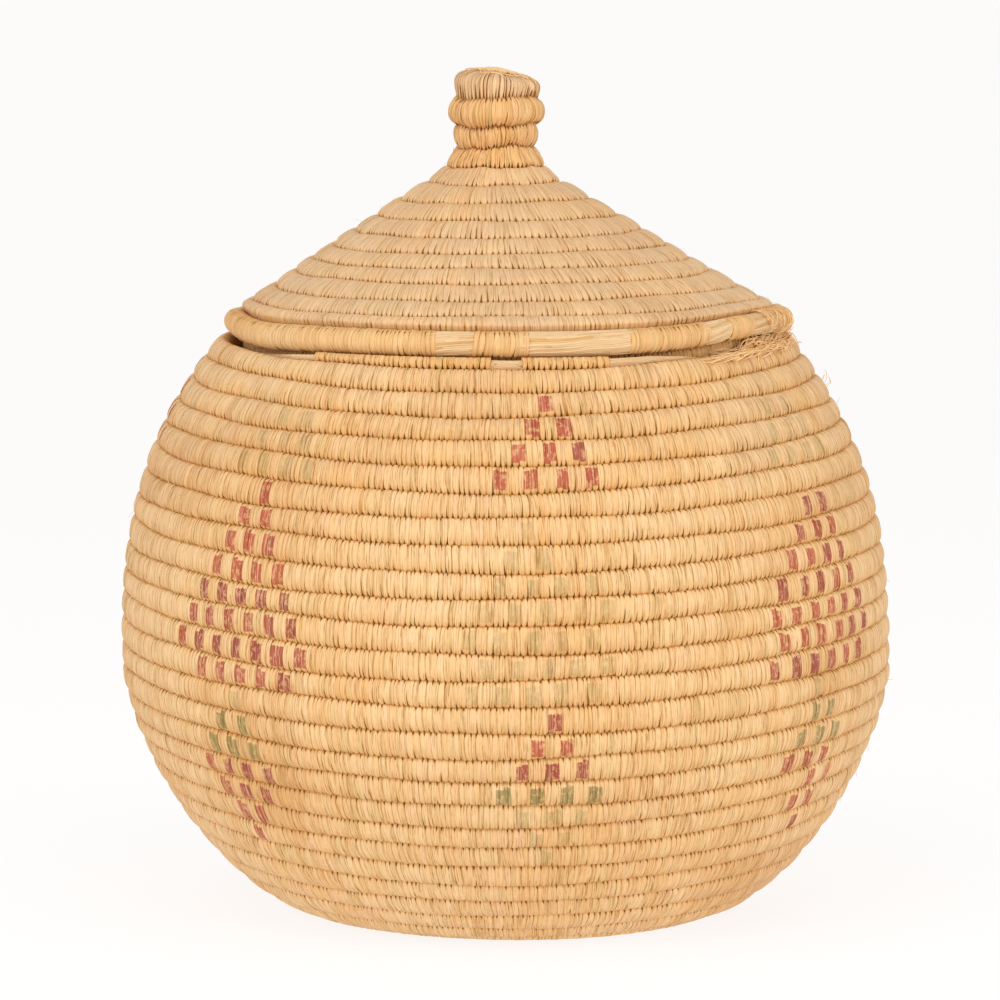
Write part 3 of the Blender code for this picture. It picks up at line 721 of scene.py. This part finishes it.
class StrawBundle:
    """Straws lying side by side round a core: each straw a ridge, at its own height and with its own end."""

    def __init__(self, straws, seed):
        self.straws, self.rng = straws, np.random.default_rng(seed)
        self.sides = straws * 4
        self.around = np.arange(self.sides) / self.sides * 2 * np.pi

    def heights(self, steps, ragged):
        rng = self.rng
        level = rng.uniform(-0.00009, 0.00006, self.straws)
        table = np.tile(level, (steps, 1))
        for straw in range(self.straws):
            for _ in range(2):
                stop = rng.integers(0, steps)
                if rng.random() < ragged:
                    side = slice(stop, None) if rng.random() < 0.5 else slice(0, stop)
                    table[side, straw] -= rng.uniform(0.0001, 0.0003)
        return table

    def build(self, name, azimuth, r, z, half_row, half_wall, along, out, place, ragged=0.5, twist=0.6):
        """The bundle along this line, in bare straw, with rough edges where single straws are broken off."""
        steps = len(azimuth)
        straw = np.arange(self.sides) // 4
        part = (np.arange(self.sides) % 4) / 4
        heights = self.heights(steps, ragged)
        ridge = 0.00010 * (np.sin(np.pi * part) - 0.6)
        sway = smooth_noise(steps, 14, self.rng) * twist / self.straws * 2 * np.pi
        lift = heights[:, straw] + ridge
        angle = self.around[None, :] + sway[:, None] + twist * np.linspace(-0.5, 0.5, steps)[:, None]
        across = (half_row[:, None] + lift) * np.sin(angle)
        outward = (half_wall[:, None] + lift) * np.cos(angle)
        radius = r[:, None] + across * along[0][:, None] + outward * out[0][:, None]
        height = z[:, None] + across * along[1][:, None] + outward * out[1][:, None]
        x, y = radius * np.cos(azimuth)[:, None], radius * np.sin(azimuth)[:, None]
        points = np.stack(place(x, y, height), -1).reshape(-1, 3)
        step, side = np.meshgrid(np.arange(steps - 1), np.arange(self.sides), indexing="ij")
        beside = (side + 1) % self.sides
        size = self.sides
        quads = np.stack([step * size + side, (step + 1) * size + side, (step + 1) * size + beside,
                          step * size + beside], -1)
        way = np.cumsum(np.hypot(np.gradient(r * np.cos(azimuth)), np.gradient(r * np.sin(azimuth))))
        strand, bake = [], []
        for right, up in ((0, 0), (1, 0), (1, 1), (0, 1)):
            spot = side + up
            beside_straw = straw[side] + 40 + (part[side] * 4 + up) / 4
            strand.append(np.stack([beside_straw, way[step + right] / STRAND_LENGTH], -1))
            on_map = MAP_EDGE + MAP_WIDTH * (step + right) / steps, MAP_EDGE + MAP_HEIGHT * spot / size
            bake.append(np.stack(on_map, -1))
        caps = [np.arange(size)[::-1], (steps - 1) * size + np.arange(size)]
        corner, beside_corner, above_corner = points[quads[0, 0, [0, 1, 3]]]
        facing = np.cross(beside_corner - corner, above_corner - corner)
        strand, bake = [np.stack(values, 2) for values in (strand, bake)]
        if facing @ (corner - points[:size].mean(0)) < 0:
            quads, strand, bake = quads[..., ::-1], strand[:, :, ::-1], bake[:, :, ::-1]
            caps = [cap[::-1] for cap in caps]
        circle = self.around
        ends = [np.stack([0.985 + 0.006 * np.cos(circle), v + 0.02 * np.sin(circle)], -1) for v in (0.3, 0.7)]
        mesh = mesh_from(name, points, quads.reshape(-1, 4), caps)
        # Painted shade between the straws, and where a broken straw lies lower than its neighbours.
        hollow = np.clip(np.tile(part == 0, steps) * 0.10 - (heights[:, straw].ravel()) * 500 - 0.05, 0, 0.4)
        strand = np.concatenate([strand.reshape(-1, 2), np.tile([40.5, 0.5], (2 * size, 1))])
        bake = np.concatenate([bake.reshape(-1, 2)] + ends)
        return dress(name, mesh, bare_straw, OFBake=bake, strand=strand, hollow=hollow)


def bare_end(name, first_degrees, last_degrees, taper, seed):
    """The mouth's bundle between two places, in degrees right of the front, with its share of thickness."""
    turns = pot_coil.rows + np.linspace(pot_coil.turns_at(first_degrees), pot_coil.turns_at(last_degrees), 90)
    low = np.minimum(pot_coil.lower_edge(turns) + 0.0003, pot_coil.outline.length - 0.0008)
    high = pot_coil.outline.length
    share = BARE_SHARE * np.interp(np.linspace(0, 1, 90), *taper)
    half = (high - low) / 2
    middle = low + half * (1.0 - (1 - share) * 0.7)
    r, z, along_r, along_z, out_r, out_z = pot_coil.outline.at(middle)
    r, z = r - WALL / 2 * out_r, z - WALL / 2 * out_z
    bundle = StrawBundle(STRAWS_IN_BUNDLE, seed)
    piece = bundle.build(
        name, pot_coil.azimuth(turns), r, z, half * share, WALL / 2 * share,
        (along_r, along_z), (out_r, out_z), place_pot,
    )
    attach(piece, "pot")
    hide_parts("mouth_end_bundle")


mouth_spans = ((MOUTH_WRAPS_RIGHT, MOUTH_BARE_SPOT[0]), (MOUTH_BARE_SPOT[1], MOUTH_WRAPS_LEFT))
for number, span in enumerate(mouth_spans):
    first, last = [pot_coil.rows + pot_coil.turns_at(degrees) for degrees in span]
    mouth_wraps = Wraps(pot_coil, first, last, 0.0017, seed=23 + number, slit=1.8, slit_share=0.8, deep=5.0)
    coil_pieces(f"mouth_end_{number + 1}", mouth_wraps, pot_ring, first, last, mouth_grass,
                "pot", "sewn_grass", "mouth_end_wrapping")
bare_end("mouth_spot", MOUTH_BARE_SPOT[0] + 1, MOUTH_BARE_SPOT[1] - 1, ((0, 1), (1, 1)), 7)
bare_end("mouth_stump", MOUTH_WRAPS_RIGHT - 2, STUMP_END, ((0, 0.45, 0.8, 1), (1, 1, 0.6, 0.12)), 5)
bare_end("mouth_tail", MOUTH_WRAPS_LEFT + 2, TAIL_END, ((0, 0.4, 1), (1, 0.72, 0.10)), 6)


# The knob and the cone of the lid. They are one coil too, begun in the middle of the knob's top
# and sewn with the same strands. The knob's strands are broader and pulled together under the
# knob, and the whole lid is dustier and greyer than the pot.
LID_RIM_RADIUS = 0.0846
LID_SLOPE = math.radians(32.3)
# Radius and depth below the top, in millimetres: domed cap, bulging row, drawn-in neck and flare
KNOB_PROFILE = (
    (0, 0), (3, 0.15), (6, 0.7), (9, 1.3), (11, 1.9), (12.3, 2.7), (12.95, 3.8), (13.1, 5.5), (13.2, 7.5),
    (13.6, 8.7), (14.2, 10.2), (14.5, 12.5), (14.3, 14.2), (13.4, 16.2), (12.8, 17.6), (12.5, 19.5),
    (12.2, 21.5), (12.25, 22.8), (12.8, 24.6), (14.0, 26.5), (15.6, 28.8), (17.7, 31.2), (21.3, 33.4),
)
# How far along that profile each of its rows begins at the front, in millimetres: the strands of
# the first one reach from the middle of the cap to its edge
LID_ROW_EDGES = (8.3, 17.9, 27.5, 33.3, 39.3, 46.2, 55.9, 65.0, 73.5, 81.4, 88.8, 96.1, 104.4, 112.1,
                 119.7, 127.3)
LID_ROWS = 13
# Turns from the knob's second row to its foot, and to the start of the cone's last row
KNOB_TURNS = 1.5
LAST_TURN = 11.5
KNOB_TOP = 0.2508
CAP_HEIGHT = 0.0095
CAP_TILT = 0.13
# How far the lid leans to the left, by share of its height
LID_LEAN = ((0, 0.1, 0.22, 0.32, 0.42, 0.52, 0.62, 1),
            (0, 0.0006, 0.0020, 0.0026, 0.0033, 0.0038, 0.0033, 0.0030))
LID_OFFSET = 0.0008
# Where the rim stands a little higher, in degrees right of the front, and how far round, by how much
RIM_RAISED = ((63, 23, 0.0030), (-82, 12, 0.0013), (-60, 13, -0.0008))
RAISED_HEIGHT = 0.012
RIM_COIL_RADIUS = 0.00375
RIM_DROP = 0.0012
ROW_GAP = 0.0003
SEAT_GAP = 0.0004
LEAST_ROW = 0.0016

mouth_r, mouth_z = POT_OUTLINE.lines[0][-1], POT_OUTLINE.lines[1][-1]
inner_r, inner_z = mouth_r - WALL * POT_OUTLINE.lines[4][-1], mouth_z - WALL * POT_OUTLINE.lines[5][-1]
rim_r = LID_RIM_RADIUS - RIM_COIL_RADIUS
rim_climb = (mouth_z - inner_z) / (mouth_r - inner_r)
rim_z = inner_z + (rim_r + LID_OFFSET - inner_r) * rim_climb
rim_z += (RIM_COIL_RADIUS + SEAT_GAP) * math.hypot(1, rim_climb)
along_slope, across_slope = RIM_COIL_RADIUS + ROW_GAP, WALL / 2 + RIM_DROP
edge_r = rim_r - along_slope * math.cos(LID_SLOPE) + across_slope * math.sin(LID_SLOPE)
edge_z = rim_z + along_slope * math.sin(LID_SLOPE) + across_slope * math.cos(LID_SLOPE)


def outline_of_lid():
    """The knob's profile and then a straight slope, down to the rim, smoothed."""
    knob_r, knob_down = np.array(KNOB_PROFILE).T / 1000
    slope_r = np.linspace(knob_r[-1], edge_r, 60)[1:]
    r = np.concatenate([knob_r, slope_r])
    z = np.concatenate([KNOB_TOP - knob_down, edge_z + (edge_r - slope_r) * math.tan(LID_SLOPE)])
    along = np.concatenate([[0], np.cumsum(np.hypot(np.diff(r), np.diff(z)))])
    even = np.linspace(0, along[-1], 900)
    lines = []
    for line in (np.interp(even, along, r), np.interp(even, along, z)):
        for _ in range(2):
            longer = np.concatenate([2 * line[0] - line[7:0:-1], line, 2 * line[-1] - line[-2:-9:-1]])
            line = np.convolve(longer, np.ones(15) / 15, "valid")
        lines.append(line)
    return Outline(*lines, -1)


def place_lid(x, y, z):
    """The lid lies a little off the mouth's middle and leans to the left; its cap and rim are uneven."""
    degrees = np.degrees(np.arctan2(x, -y))
    raised = sum(most * np.exp(-(((degrees - at) / width) ** 2)) for at, width, most in RIM_RAISED)
    raised = raised * np.clip(1 - (z - rim_z) / RAISED_HEIGHT, 0, 1)
    raised = raised * np.clip(np.hypot(x, y) / 0.06 - 0.4, 0, 1)
    lean = np.interp((z - edge_z) / (KNOB_TOP - edge_z), *LID_LEAN)
    tilt = CAP_TILT * np.clip((z - KNOB_TOP + CAP_HEIGHT) / CAP_HEIGHT, 0, 1)
    return x + pot_shift(POT_HEIGHT) + LID_OFFSET - lean, y, z - tilt * x + raised


lid_coil = Coil(outline_of_lid(), np.array(LID_ROW_EDGES) / 1000, LID_ROWS, 1, place_lid)
lid_end = lid_coil.rows - 1
while lid_coil.outline.length - float(lid_coil.lower_edge(np.array([lid_end]))[0]) > LEAST_ROW:
    lid_end += 1 / 60

lid_grass = grass_finish(
    "dusty grass of the lid", Pale=(0.87, 0.59, 0.32), Golden=(0.79, 0.46, 0.20), Tan=(0.68, 0.37, 0.15),
    Dustiness=0.5, Streaks=1.1, Variety=0.8, Fibres=0.9,
)
cap_grass = grass_finish(
    "faded grass of the knob's cap",
    Pale=(0.93, 0.63, 0.36), Golden=(0.85, 0.50, 0.22), Tan=(0.66, 0.35, 0.14),
    Dustiness=0.4, Fibres=1.3, **{"Painted valley shade": (0.52, 0.33, 0.14)},
)
knob_grass = grass_finish(
    "grass of the knob", Pale=(0.90, 0.56, 0.25), Golden=(0.78, 0.41, 0.13), Tan=(0.60, 0.28, 0.08),
    Fibres=1.5, **{"Painted valley shade": (0.52, 0.31, 0.11), "Painted hole shade": (0.16, 0.06, 0.006)},
)
lid_ring, knob_ring = Ring(3.1), Ring(2.35, LONG_RING)
# Each stretch of the coil: from turn to turn, the strands' pitch, and how they are drawn and lie
LID_STRETCHES = (
    ("knob_cap", -1.5, -0.5, 0.0011, knob_ring, cap_grass, ("knob_knot", "knob_coil"),
     {"seed": 31, "slit": 1.2, "slit_share": 0.4, "loose": 3.2, "deep": 2.4}),
    ("knob_bulge", -0.5, 0.5, 0.0013, knob_ring, knob_grass, ("knob_coil",),
     {"seed": 33, "slit": 1.6, "slit_share": 0.5, "loose": 2.2, "deep": 3.4, "notch": 2.0, "pairs": 0.3}),
    ("knob_neck", 0.5, KNOB_TURNS, 0.0013, knob_ring, knob_grass, ("knob_coil",),
     {"seed": 34, "slit": 1.8, "slit_share": 0.7, "loose": 1.6, "deep": 5.0, "notch": 2.4, "pairs": 0.7}),
    ("lid_flare", KNOB_TURNS, KNOB_TURNS + 1, 0.0014, lid_ring, knob_grass, ("lid_coil",),
     {"seed": 35, "slit": 1.3, "slit_share": 0.6, "loose": 1.8, "deep": 3.0, "pairs": 0.4}),
    ("lid", KNOB_TURNS + 1, LAST_TURN, 0.0016, lid_ring, lid_grass, ("lid_coil",),
     {"seed": 32, "slit": 0.75, "slit_share": 0.35, "loose": 1.4, "notch": 0.2}),
    ("lid_last_row", LAST_TURN, lid_end, 0.0016, lid_ring, lid_grass, ("lid_coil",),
     {"seed": 36, "slit": 0.25, "slit_share": 0.2, "loose": 1.4, "deep": 0.5, "notch": 0.1, "holes": 0.2}),
)
for name, first, last, pitch, ring, finish, nodes, strands in LID_STRETCHES:
    stretch = Wraps(lid_coil, first, last, pitch, **strands)
    coil_pieces(name, stretch, ring, first, last, finish, "lid", "lid_grass", *nodes)


# The rim of the lid: a level bundle, wrapped round and sewn under the last row. At four places
# at the front and right the wraps have worn through, and the pale straws inside show.
RIM_BARE_SPANS = ((-14.2, -7.0), (4.2, 24.6), (44.2, 50.6), (58.8, 72.5))
RIM_STRAWS = 34


class LevelRing:
    """A bundle that runs level round the lid, for as many degrees as it has wraps."""

    sense = 1

    def __init__(self, r, z, half_height, half_thickness, lean=0.0):
        self.r, self.z, self.sizes, self.lean = r, z, (half_height, half_thickness), lean
        self.place = place_lid

    def azimuth(self, turns):
        return -np.pi / 2 + 2 * np.pi * turns

    def radius(self, turns):
        return self.r * np.ones_like(turns)

    def around(self, turns, ring, lift):
        """The lower side of the ring is the end of its wraps, as on the lid's rows."""
        down = self.sizes[0] * ring.across + lift * ring.lift[0]
        out = self.sizes[1] * ring.out + lift * ring.lift[1]
        lean_in, lean_up = math.cos(self.lean), math.sin(self.lean)
        return self.r + down * lean_up + out * lean_in, self.z - down * lean_in + out * lean_up


rim_ring = LevelRing(rim_r, rim_z, RIM_COIL_RADIUS, RIM_COIL_RADIUS)
round_ring = Ring(2.0)
rim_marks = [edge for span in RIM_BARE_SPANS for edge in span]
rim_stretches = list(zip(rim_marks[1::2], rim_marks[2::2] + [RIM_BARE_SPANS[0][0] + 360]))
rim_grass = grass_finish(
    "grass round the lid's rim", Pale=(0.88, 0.56, 0.25), Golden=(0.81, 0.43, 0.14), Tan=(0.65, 0.31, 0.09),
    Dustiness=0.15, Variety=0.8, Fibres=0.8,
)
for number, (from_degrees, to_degrees) in enumerate(rim_stretches):
    first, last = from_degrees / 360, to_degrees / 360
    worn_wraps = Wraps(rim_ring, first, last, 0.0014, seed=41 + number, slit=0.5, slit_share=0.2,
                       loose=2.2, deep=1.8)
    coil_pieces(f"rim_{number + 1}", worn_wraps, round_ring, first, last, rim_grass,
                "lid", "lid_grass", "lid_rim_wrapping")
for number, (first, last) in enumerate(RIM_BARE_SPANS):
    steps = 16 + int((last - first) * 4)
    place = np.radians(np.linspace(first - 2, last + 2, steps) - 90)
    even = np.ones(steps)
    bundle = StrawBundle(RIM_STRAWS, 60 + number)
    half = (RIM_COIL_RADIUS - 0.0001) * even
    piece = bundle.build(
        f"rim_straw_{number + 1}", place, rim_r * even, rim_z * even, half, half,
        (0 * even, even), (even, 0 * even), place_lid, ragged=0.7,
    )
    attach(piece, "lid")
    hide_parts("lid_rim_bundle")


# The collar under the lid: rows of the same coil, sewn inside the rim, that drop inside the
# mouth and keep the lid central. It shows only through the gaps at the worn rim.
COLLAR_DEPTH = 0.0135
COLLAR_WALL = 0.0050
COLLAR_CLEARANCE = 0.0013

collar_top = rim_z - RIM_COIL_RADIUS - ROW_GAP
collar_middle = inner_r - COLLAR_CLEARANCE - COLLAR_WALL / 2
collar_rows = [
    (collar_middle, collar_top - COLLAR_DEPTH * 3 / 4, 0.0),
    (collar_middle, collar_top - COLLAR_DEPTH / 4, 0.0),
    (collar_middle - 0.0012, collar_top + 0.0026, math.radians(12)),
]
collar_ring = Ring(2.5)
# Painted light: the collar's grass is coloured brighter than the rest, to stand in for light reaching it
# through the gaps in the rim.
collar_lit_grass = grass_finish(
    "grass of the collar, brighter as painted light", Pale=(0.96, 0.61, 0.24), Golden=(0.92, 0.52, 0.17), Tan=(0.78, 0.39, 0.10),
)
for number, (r, z, lean) in enumerate(collar_rows):
    row_ring = LevelRing(r, z, COLLAR_DEPTH / 4 * ROW_OVERLAP, COLLAR_WALL / 2, lean)
    row_wraps = Wraps(row_ring, 0.5, 1.5, 0.0017, seed=51 + number, slit=1.4, slit_share=0.7,
                      loose=1.5, deep=5)
    coil_pieces(f"collar_{number + 1}", row_wraps, collar_ring, 0.5, 1.5, collar_lit_grass,
                "lid", "lid_grass", "lid_collar")


# Loose fibres. Where the wraps have broken, at the right end of the mouth and of the rim, their
# ends stand off as thin curled strands, and a few dry hairs lift from the rows all round.
def fibre_tube(path, radius, flat=1.0):
    """Points and faces of one thin strand that runs out to a point."""
    path = np.asarray(path)
    way = np.gradient(path, axis=0)
    way /= np.linalg.norm(way, axis=1)[:, None]
    side = np.cross(way, (0.1, 0.2, 1.0))
    side /= np.linalg.norm(side, axis=1)[:, None]
    up = np.cross(side, way)
    count, sides = len(path), 5
    full = np.minimum(np.linspace(0.3, 6, count), np.linspace(3.0, 0.06, count))
    thick = radius * np.sqrt(np.clip(full, 0, 1))
    turn = np.arange(sides) / sides * 2 * np.pi
    ring = side[:, None] * (np.cos(turn) * flat)[None, :, None] + up[:, None] * np.sin(turn)[None, :, None]
    points = path[:, None] + ring * thick[:, None, None]
    step, spot = np.meshgrid(np.arange(count - 1), np.arange(sides), indexing="ij")
    beside = (spot + 1) % sides
    quads = np.stack([step * sides + spot, step * sides + beside, (step + 1) * sides + beside,
                      (step + 1) * sides + spot], -1).reshape(-1, 4)
    return points.reshape(-1, 3), quads, [np.arange(sides)[::-1], (count - 1) * sides + np.arange(sides)]


def loose_fibres(name, paths, radii, body, material, flat=1.0):
    """Many loose strands as one piece."""
    points, quads, caps, strand = [], [], [], []
    at = 0
    for number, (path, radius) in enumerate(zip(paths, radii)):
        own_points, own_quads, own_caps = fibre_tube(path, radius, flat)
        points.append(own_points)
        quads.append(own_quads + at)
        caps += [cap + at for cap in own_caps]
        rise = own_quads // 5 / len(path)
        strand.append(np.stack([np.full(rise.shape, number + 0.5), 0.3 + 0.4 * rise], -1).reshape(-1, 2))
        at += len(own_points)
    strand.append(np.tile([0.5, 0.5], (sum(len(cap) for cap in caps), 1)))
    mesh = mesh_from(name, np.concatenate(points), np.concatenate(quads), caps)
    piece = dress(name, mesh, material, strand=np.concatenate(strand))
    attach(piece, body)


def curl(start, way, length, bend, rng, count=8):
    """A strand's path: it sets off one way and wanders."""
    way = np.array(way, float) / np.linalg.norm(way)
    path = [np.array(start, float)]
    turn = rng.normal(0, bend, 3)
    for _ in range(count - 1):
        way = way + turn / count + rng.normal(0, bend / 4, 3)
        way /= np.linalg.norm(way)
        path.append(path[-1] + way * length / (count - 1))
    return path


def on_coil(coil, turns, share, proud=0.0):
    """A point on the outside of a coil's row, the directions along it, across it and out of it."""
    turns = np.array([turns])
    low, high = coil.lower_edge(turns), coil.lower_edge(turns + 1)
    spot = coil.outline.at(low + (high - low) * share)
    r, z, along_r, along_z, out_r, out_z = [float(value[0]) for value in spot]
    crest = max(1 - abs(2 * share - 1) ** ROUNDNESS, 0) ** (1 / ROUNDNESS)
    out = WALL / 2 * (crest - 1) + proud
    angle = float(coil.azimuth(turns)[0])
    round_way = np.array([-math.sin(angle), math.cos(angle), 0.0]) * coil.sense
    cross = np.array([math.cos(angle) * along_r, math.sin(angle) * along_r, along_z])
    outward = np.array([math.cos(angle) * out_r, math.sin(angle) * out_r, out_z])
    r, z = r + out * out_r, z + out * out_z
    return np.array(coil.place(r * math.cos(angle), r * math.sin(angle), z)), round_way, cross, outward


fibre_rng = np.random.default_rng(77)
# Painted light: the loose strands are coloured paler than the rows, to stand in for light on those at the
# mouth and the rim's right end that lie in shade.
frayed_lit_grass = grass_finish(
    "frayed ends of strands, paler as painted light", Pale=(0.97, 0.69, 0.36), Golden=(0.90, 0.54, 0.22), Tan=(0.62, 0.31, 0.09),
    Fibres=0.5,
)
frayed, frayed_radii = [], []
for _ in range(190):
    degrees, reach = fibre_rng.uniform(52, 80), fibre_rng.uniform(4, 14)
    share, climb = fibre_rng.uniform(0.72, 1.25), fibre_rng.uniform(-0.35, 0.10)
    lift = fibre_rng.uniform(0.0002, 0.0012)
    path = []
    for step in np.linspace(0, 1, 10):
        turns = pot_coil.rows - 1 + pot_coil.turns_at(degrees - reach * step)
        proud = 0.0001 + lift * step + 0.0003 * math.sin(9 * step + degrees)
        above = share + climb * step + 0.05 * math.sin(5 * step + reach)
        path.append(on_coil(pot_coil, turns, above, proud)[0])
    frayed.append(path)
    frayed_radii.append(fibre_rng.uniform(0.00011, 0.00025))
for degrees, below, reach in (
    (81, 0.4, 0.004), (82, 0.5, 0.005), (83, 0.3, 0.003), (86, 2.4, 0.005), (87, 2.6, 0.004),
    (88, 2.5, 0.006), (85, 2.3, 0.003),
):
    turns = pot_coil.rows - 1 - math.floor(below) + pot_coil.turns_at(degrees)
    start, round_way, cross, outward = on_coil(pot_coil, turns, 1 - below % 1)
    way = outward + fibre_rng.uniform(-0.6, 0.6) * cross - 0.4 * round_way
    frayed.append(curl(start, way, reach, 0.8, fibre_rng, 9))
    frayed_radii.append(0.00007)
for _ in range(230):
    degrees, reach, fall = fibre_rng.uniform(61, 93), fibre_rng.uniform(1, 9), fibre_rng.uniform(-0.2, 0.8)
    share, lift = fibre_rng.uniform(1.02, 1.6), fibre_rng.uniform(0.0004, 0.0030)
    path = []
    for step in np.linspace(0, 1, 10):
        turns = pot_coil.rows - 1 + pot_coil.turns_at(degrees - reach * step)
        above = share - fall * step * step + 0.12 * math.sin(5 * step + 3 * reach)
        path.append(on_coil(pot_coil, turns, above, lift * (1 - step) + 0.0002)[0])
    frayed.append(path)
    frayed_radii.append(fibre_rng.uniform(0.00012, 0.00028))
loose_fibres("frayed_mouth", frayed, frayed_radii, "pot", frayed_lit_grass, flat=1.6)

hairs, hair_radii = [], []
for _ in range(260):
    turns = fibre_rng.uniform(12, pot_coil.rows - 0.3)
    start, round_way, cross, outward = on_coil(pot_coil, turns, fibre_rng.uniform(0.1, 0.9))
    way = fibre_rng.uniform(-0.6, 0.6) * round_way + fibre_rng.uniform(-1, 1) * cross + 0.2 * outward
    hairs.append(curl(start, way, fibre_rng.uniform(0.0015, 0.004), 0.5, fibre_rng, 6))
    hair_radii.append(fibre_rng.uniform(0.00003, 0.00006))
loose_fibres("pot_hairs", hairs, hair_radii, "pot", bare_straw)

CAP_EDGE_MM = 13.0
lid_hairs, lid_hair_radii = [], []
for _ in range(110):
    middle, heading = fibre_rng.uniform(0.5, 9.5), fibre_rng.uniform(0, 2 * math.pi)
    reach, drift = fibre_rng.uniform(2, 6), fibre_rng.uniform(-0.5, 0.5)
    lift = fibre_rng.uniform(0.0001, 0.0005)
    side = heading + fibre_rng.choice([-1, 1]) * fibre_rng.uniform(0.7, 1.6)
    path = []
    for step in np.linspace(-1, 1, 11):
        x = middle * math.cos(heading) + reach * step * math.cos(side + drift * step)
        y = middle * math.sin(heading) + reach * step * math.sin(side + drift * step)
        r = math.hypot(x, y)
        inside = min(r, CAP_EDGE_MM)
        down = np.interp(inside, *np.array(KNOB_PROFILE[:8]).T) / 1000
        proud = 0.0001 + lift * (1 - step * step)
        path.append(place_lid(inside / r * x / 1000, inside / r * y / 1000, KNOB_TOP - down + proud))
    lid_hairs.append(path)
    lid_hair_radii.append(fibre_rng.uniform(0.00008, 0.0002))
for _ in range(150):
    turns = fibre_rng.uniform(0.2, lid_coil.rows - 0.6)
    start, round_way, cross, outward = on_coil(lid_coil, turns, fibre_rng.uniform(0.1, 0.9))
    way = fibre_rng.uniform(-0.6, 0.6) * round_way + fibre_rng.uniform(-1, 1) * cross + 0.2 * outward
    lid_hairs.append(curl(start, way, fibre_rng.uniform(0.0012, 0.003), 0.5, fibre_rng, 6))
    lid_hair_radii.append(fibre_rng.uniform(0.00003, 0.00006))
for _ in range(170):
    degrees, turn = fibre_rng.uniform(64, 96), fibre_rng.uniform(-1.3, 1.2)
    reach, drift = fibre_rng.uniform(0.8, 2.2), fibre_rng.uniform(-3, 3)
    lift = fibre_rng.uniform(0.0002, 0.0013)
    path = []
    for step in np.linspace(0, 1, 10):
        angle = math.radians(degrees + drift * step - 90)
        far = RIM_COIL_RADIUS + 0.0001 + lift * math.sin(1.9 * step)
        r, up = rim_r + far * math.cos(turn + reach * step), far * math.sin(turn + reach * step)
        path.append(place_lid(r * math.cos(angle), r * math.sin(angle), rim_z + up))
    lid_hairs.append(path)
    lid_hair_radii.append(fibre_rng.uniform(0.00006, 0.00014))
loose_fibres("lid_hairs", lid_hairs, lid_hair_radii, "lid", frayed_lit_grass, flat=1.6)


# The studio: a white floor that runs up into a white backdrop, soft light from above and from
# both sides, and a long lens a little above the middle of the basket.
CAMERA_DISTANCE = 1.556
CAMERA_HEIGHT = 0.2927
CAMERA_SIDE = -0.0018
CAMERA_DOWN = 6.27
CAMERA_LENS = 187.4

camera = bpy.data.objects.new("camera", bpy.data.cameras.new("camera"))
camera.data.lens = CAMERA_LENS
camera.data.sensor_width = 36.0
camera.location = (CAMERA_SIDE, -CAMERA_DISTANCE, CAMERA_HEIGHT)
camera.rotation_euler = (math.radians(90 - CAMERA_DOWN), 0, 0)
bpy.context.scene.collection.objects.link(camera)
bpy.context.scene.camera = camera


def studio_floor():
    size, back = 3.6, 3.0
    turn = np.linspace(0, np.pi / 2, 12)
    y = np.concatenate([[-size], back + 0.5 * np.sin(turn), [back + 0.5]])
    z = np.concatenate([[0.0], 0.5 - 0.5 * np.cos(turn), [size]])
    points = np.concatenate([np.stack([np.full(len(y), side), y, z], -1) for side in (-size, size)])
    count = len(y)
    faces = np.array([(n, n + count, n + count + 1, n + 1) for n in range(count - 1)])
    mesh = mesh_from("floor", points, faces)
    material = bpy.data.materials.new("white studio paper")
    material.use_nodes = True
    tree = material.node_tree
    surface = tree.nodes["Principled BSDF"]
    surface.inputs["Base Color"].default_value = (0.80, 0.79, 0.78, 1)
    surface.inputs["Roughness"].default_value = 0.9
    surface.inputs["Specular IOR Level"].default_value = 0.1
    glow = tree.nodes.new("ShaderNodeEmission")
    glow.inputs["Color"].default_value = (1.0, 0.99, 0.985, 1)
    glow.inputs["Strength"].default_value = 1.09
    path = tree.nodes.new("ShaderNodeLightPath")
    seen = calculate(tree, "MAXIMUM", path.outputs["Is Camera Ray"], path.outputs["Is Glossy Ray"])
    mix = tree.nodes.new("ShaderNodeMixShader")
    share = calculate(tree, "MULTIPLY_ADD", seen, 0.18, 0.60)
    tree.links.new(share, mix.inputs[0])
    tree.links.new(surface.outputs[0], mix.inputs[1])
    tree.links.new(glow.outputs[0], mix.inputs[2])
    tree.links.new(mix.outputs[0], tree.nodes["Material Output"].inputs["Surface"])
    mesh.materials.append(material)
    obj = bpy.data.objects.new("floor", mesh)
    bpy.context.scene.collection.objects.link(obj)


def softbox(name, place, aim, size, power):
    light = bpy.data.lights.new(name, "AREA")
    light.shape, light.size, light.size_y = "RECTANGLE", size[0], size[1]
    light.energy = power
    obj = bpy.data.objects.new(name, light)
    obj.location = place
    way = np.array(aim, float) - np.array(place, float)
    down = math.acos(-way[2] / np.linalg.norm(way))
    obj.rotation_euler = (down, 0, math.atan2(way[1], way[0]) - math.pi / 2)
    bpy.context.scene.collection.objects.link(obj)


studio_floor()
softbox("softbox over the front", (-0.15, -0.9, 1.5), (0, 0, 0.12), (1.4, 1.0), 8.7)
softbox("softbox at the left", (-1.5, -0.7, 0.7), (0, 0, 0.10), (1.0, 1.2), 5.7)
softbox("softbox at the right", (1.5, -0.7, 0.7), (0, 0, 0.10), (1.0, 1.2), 7.2)
softbox("low fill from the front", (0, -1.9, 0.2), (0, 0, 0.05), (2.2, 0.4), 8.5)

world = bpy.data.worlds.new("studio")
world.use_nodes = True
world.node_tree.nodes["Background"].inputs["Color"].default_value = (1, 1, 1, 1)
world_tree = world.node_tree
world_path = world_tree.nodes.new("ShaderNodeLightPath")
world_light = calculate(world_tree, "MULTIPLY_ADD", world_path.outputs["Is Camera Ray"], 0.45, 0.52)
wire(world_tree, world_tree.nodes["Background"].inputs["Strength"], world_light)
bpy.context.scene.world = world
bpy.context.scene.view_settings.view_transform = "Standard"
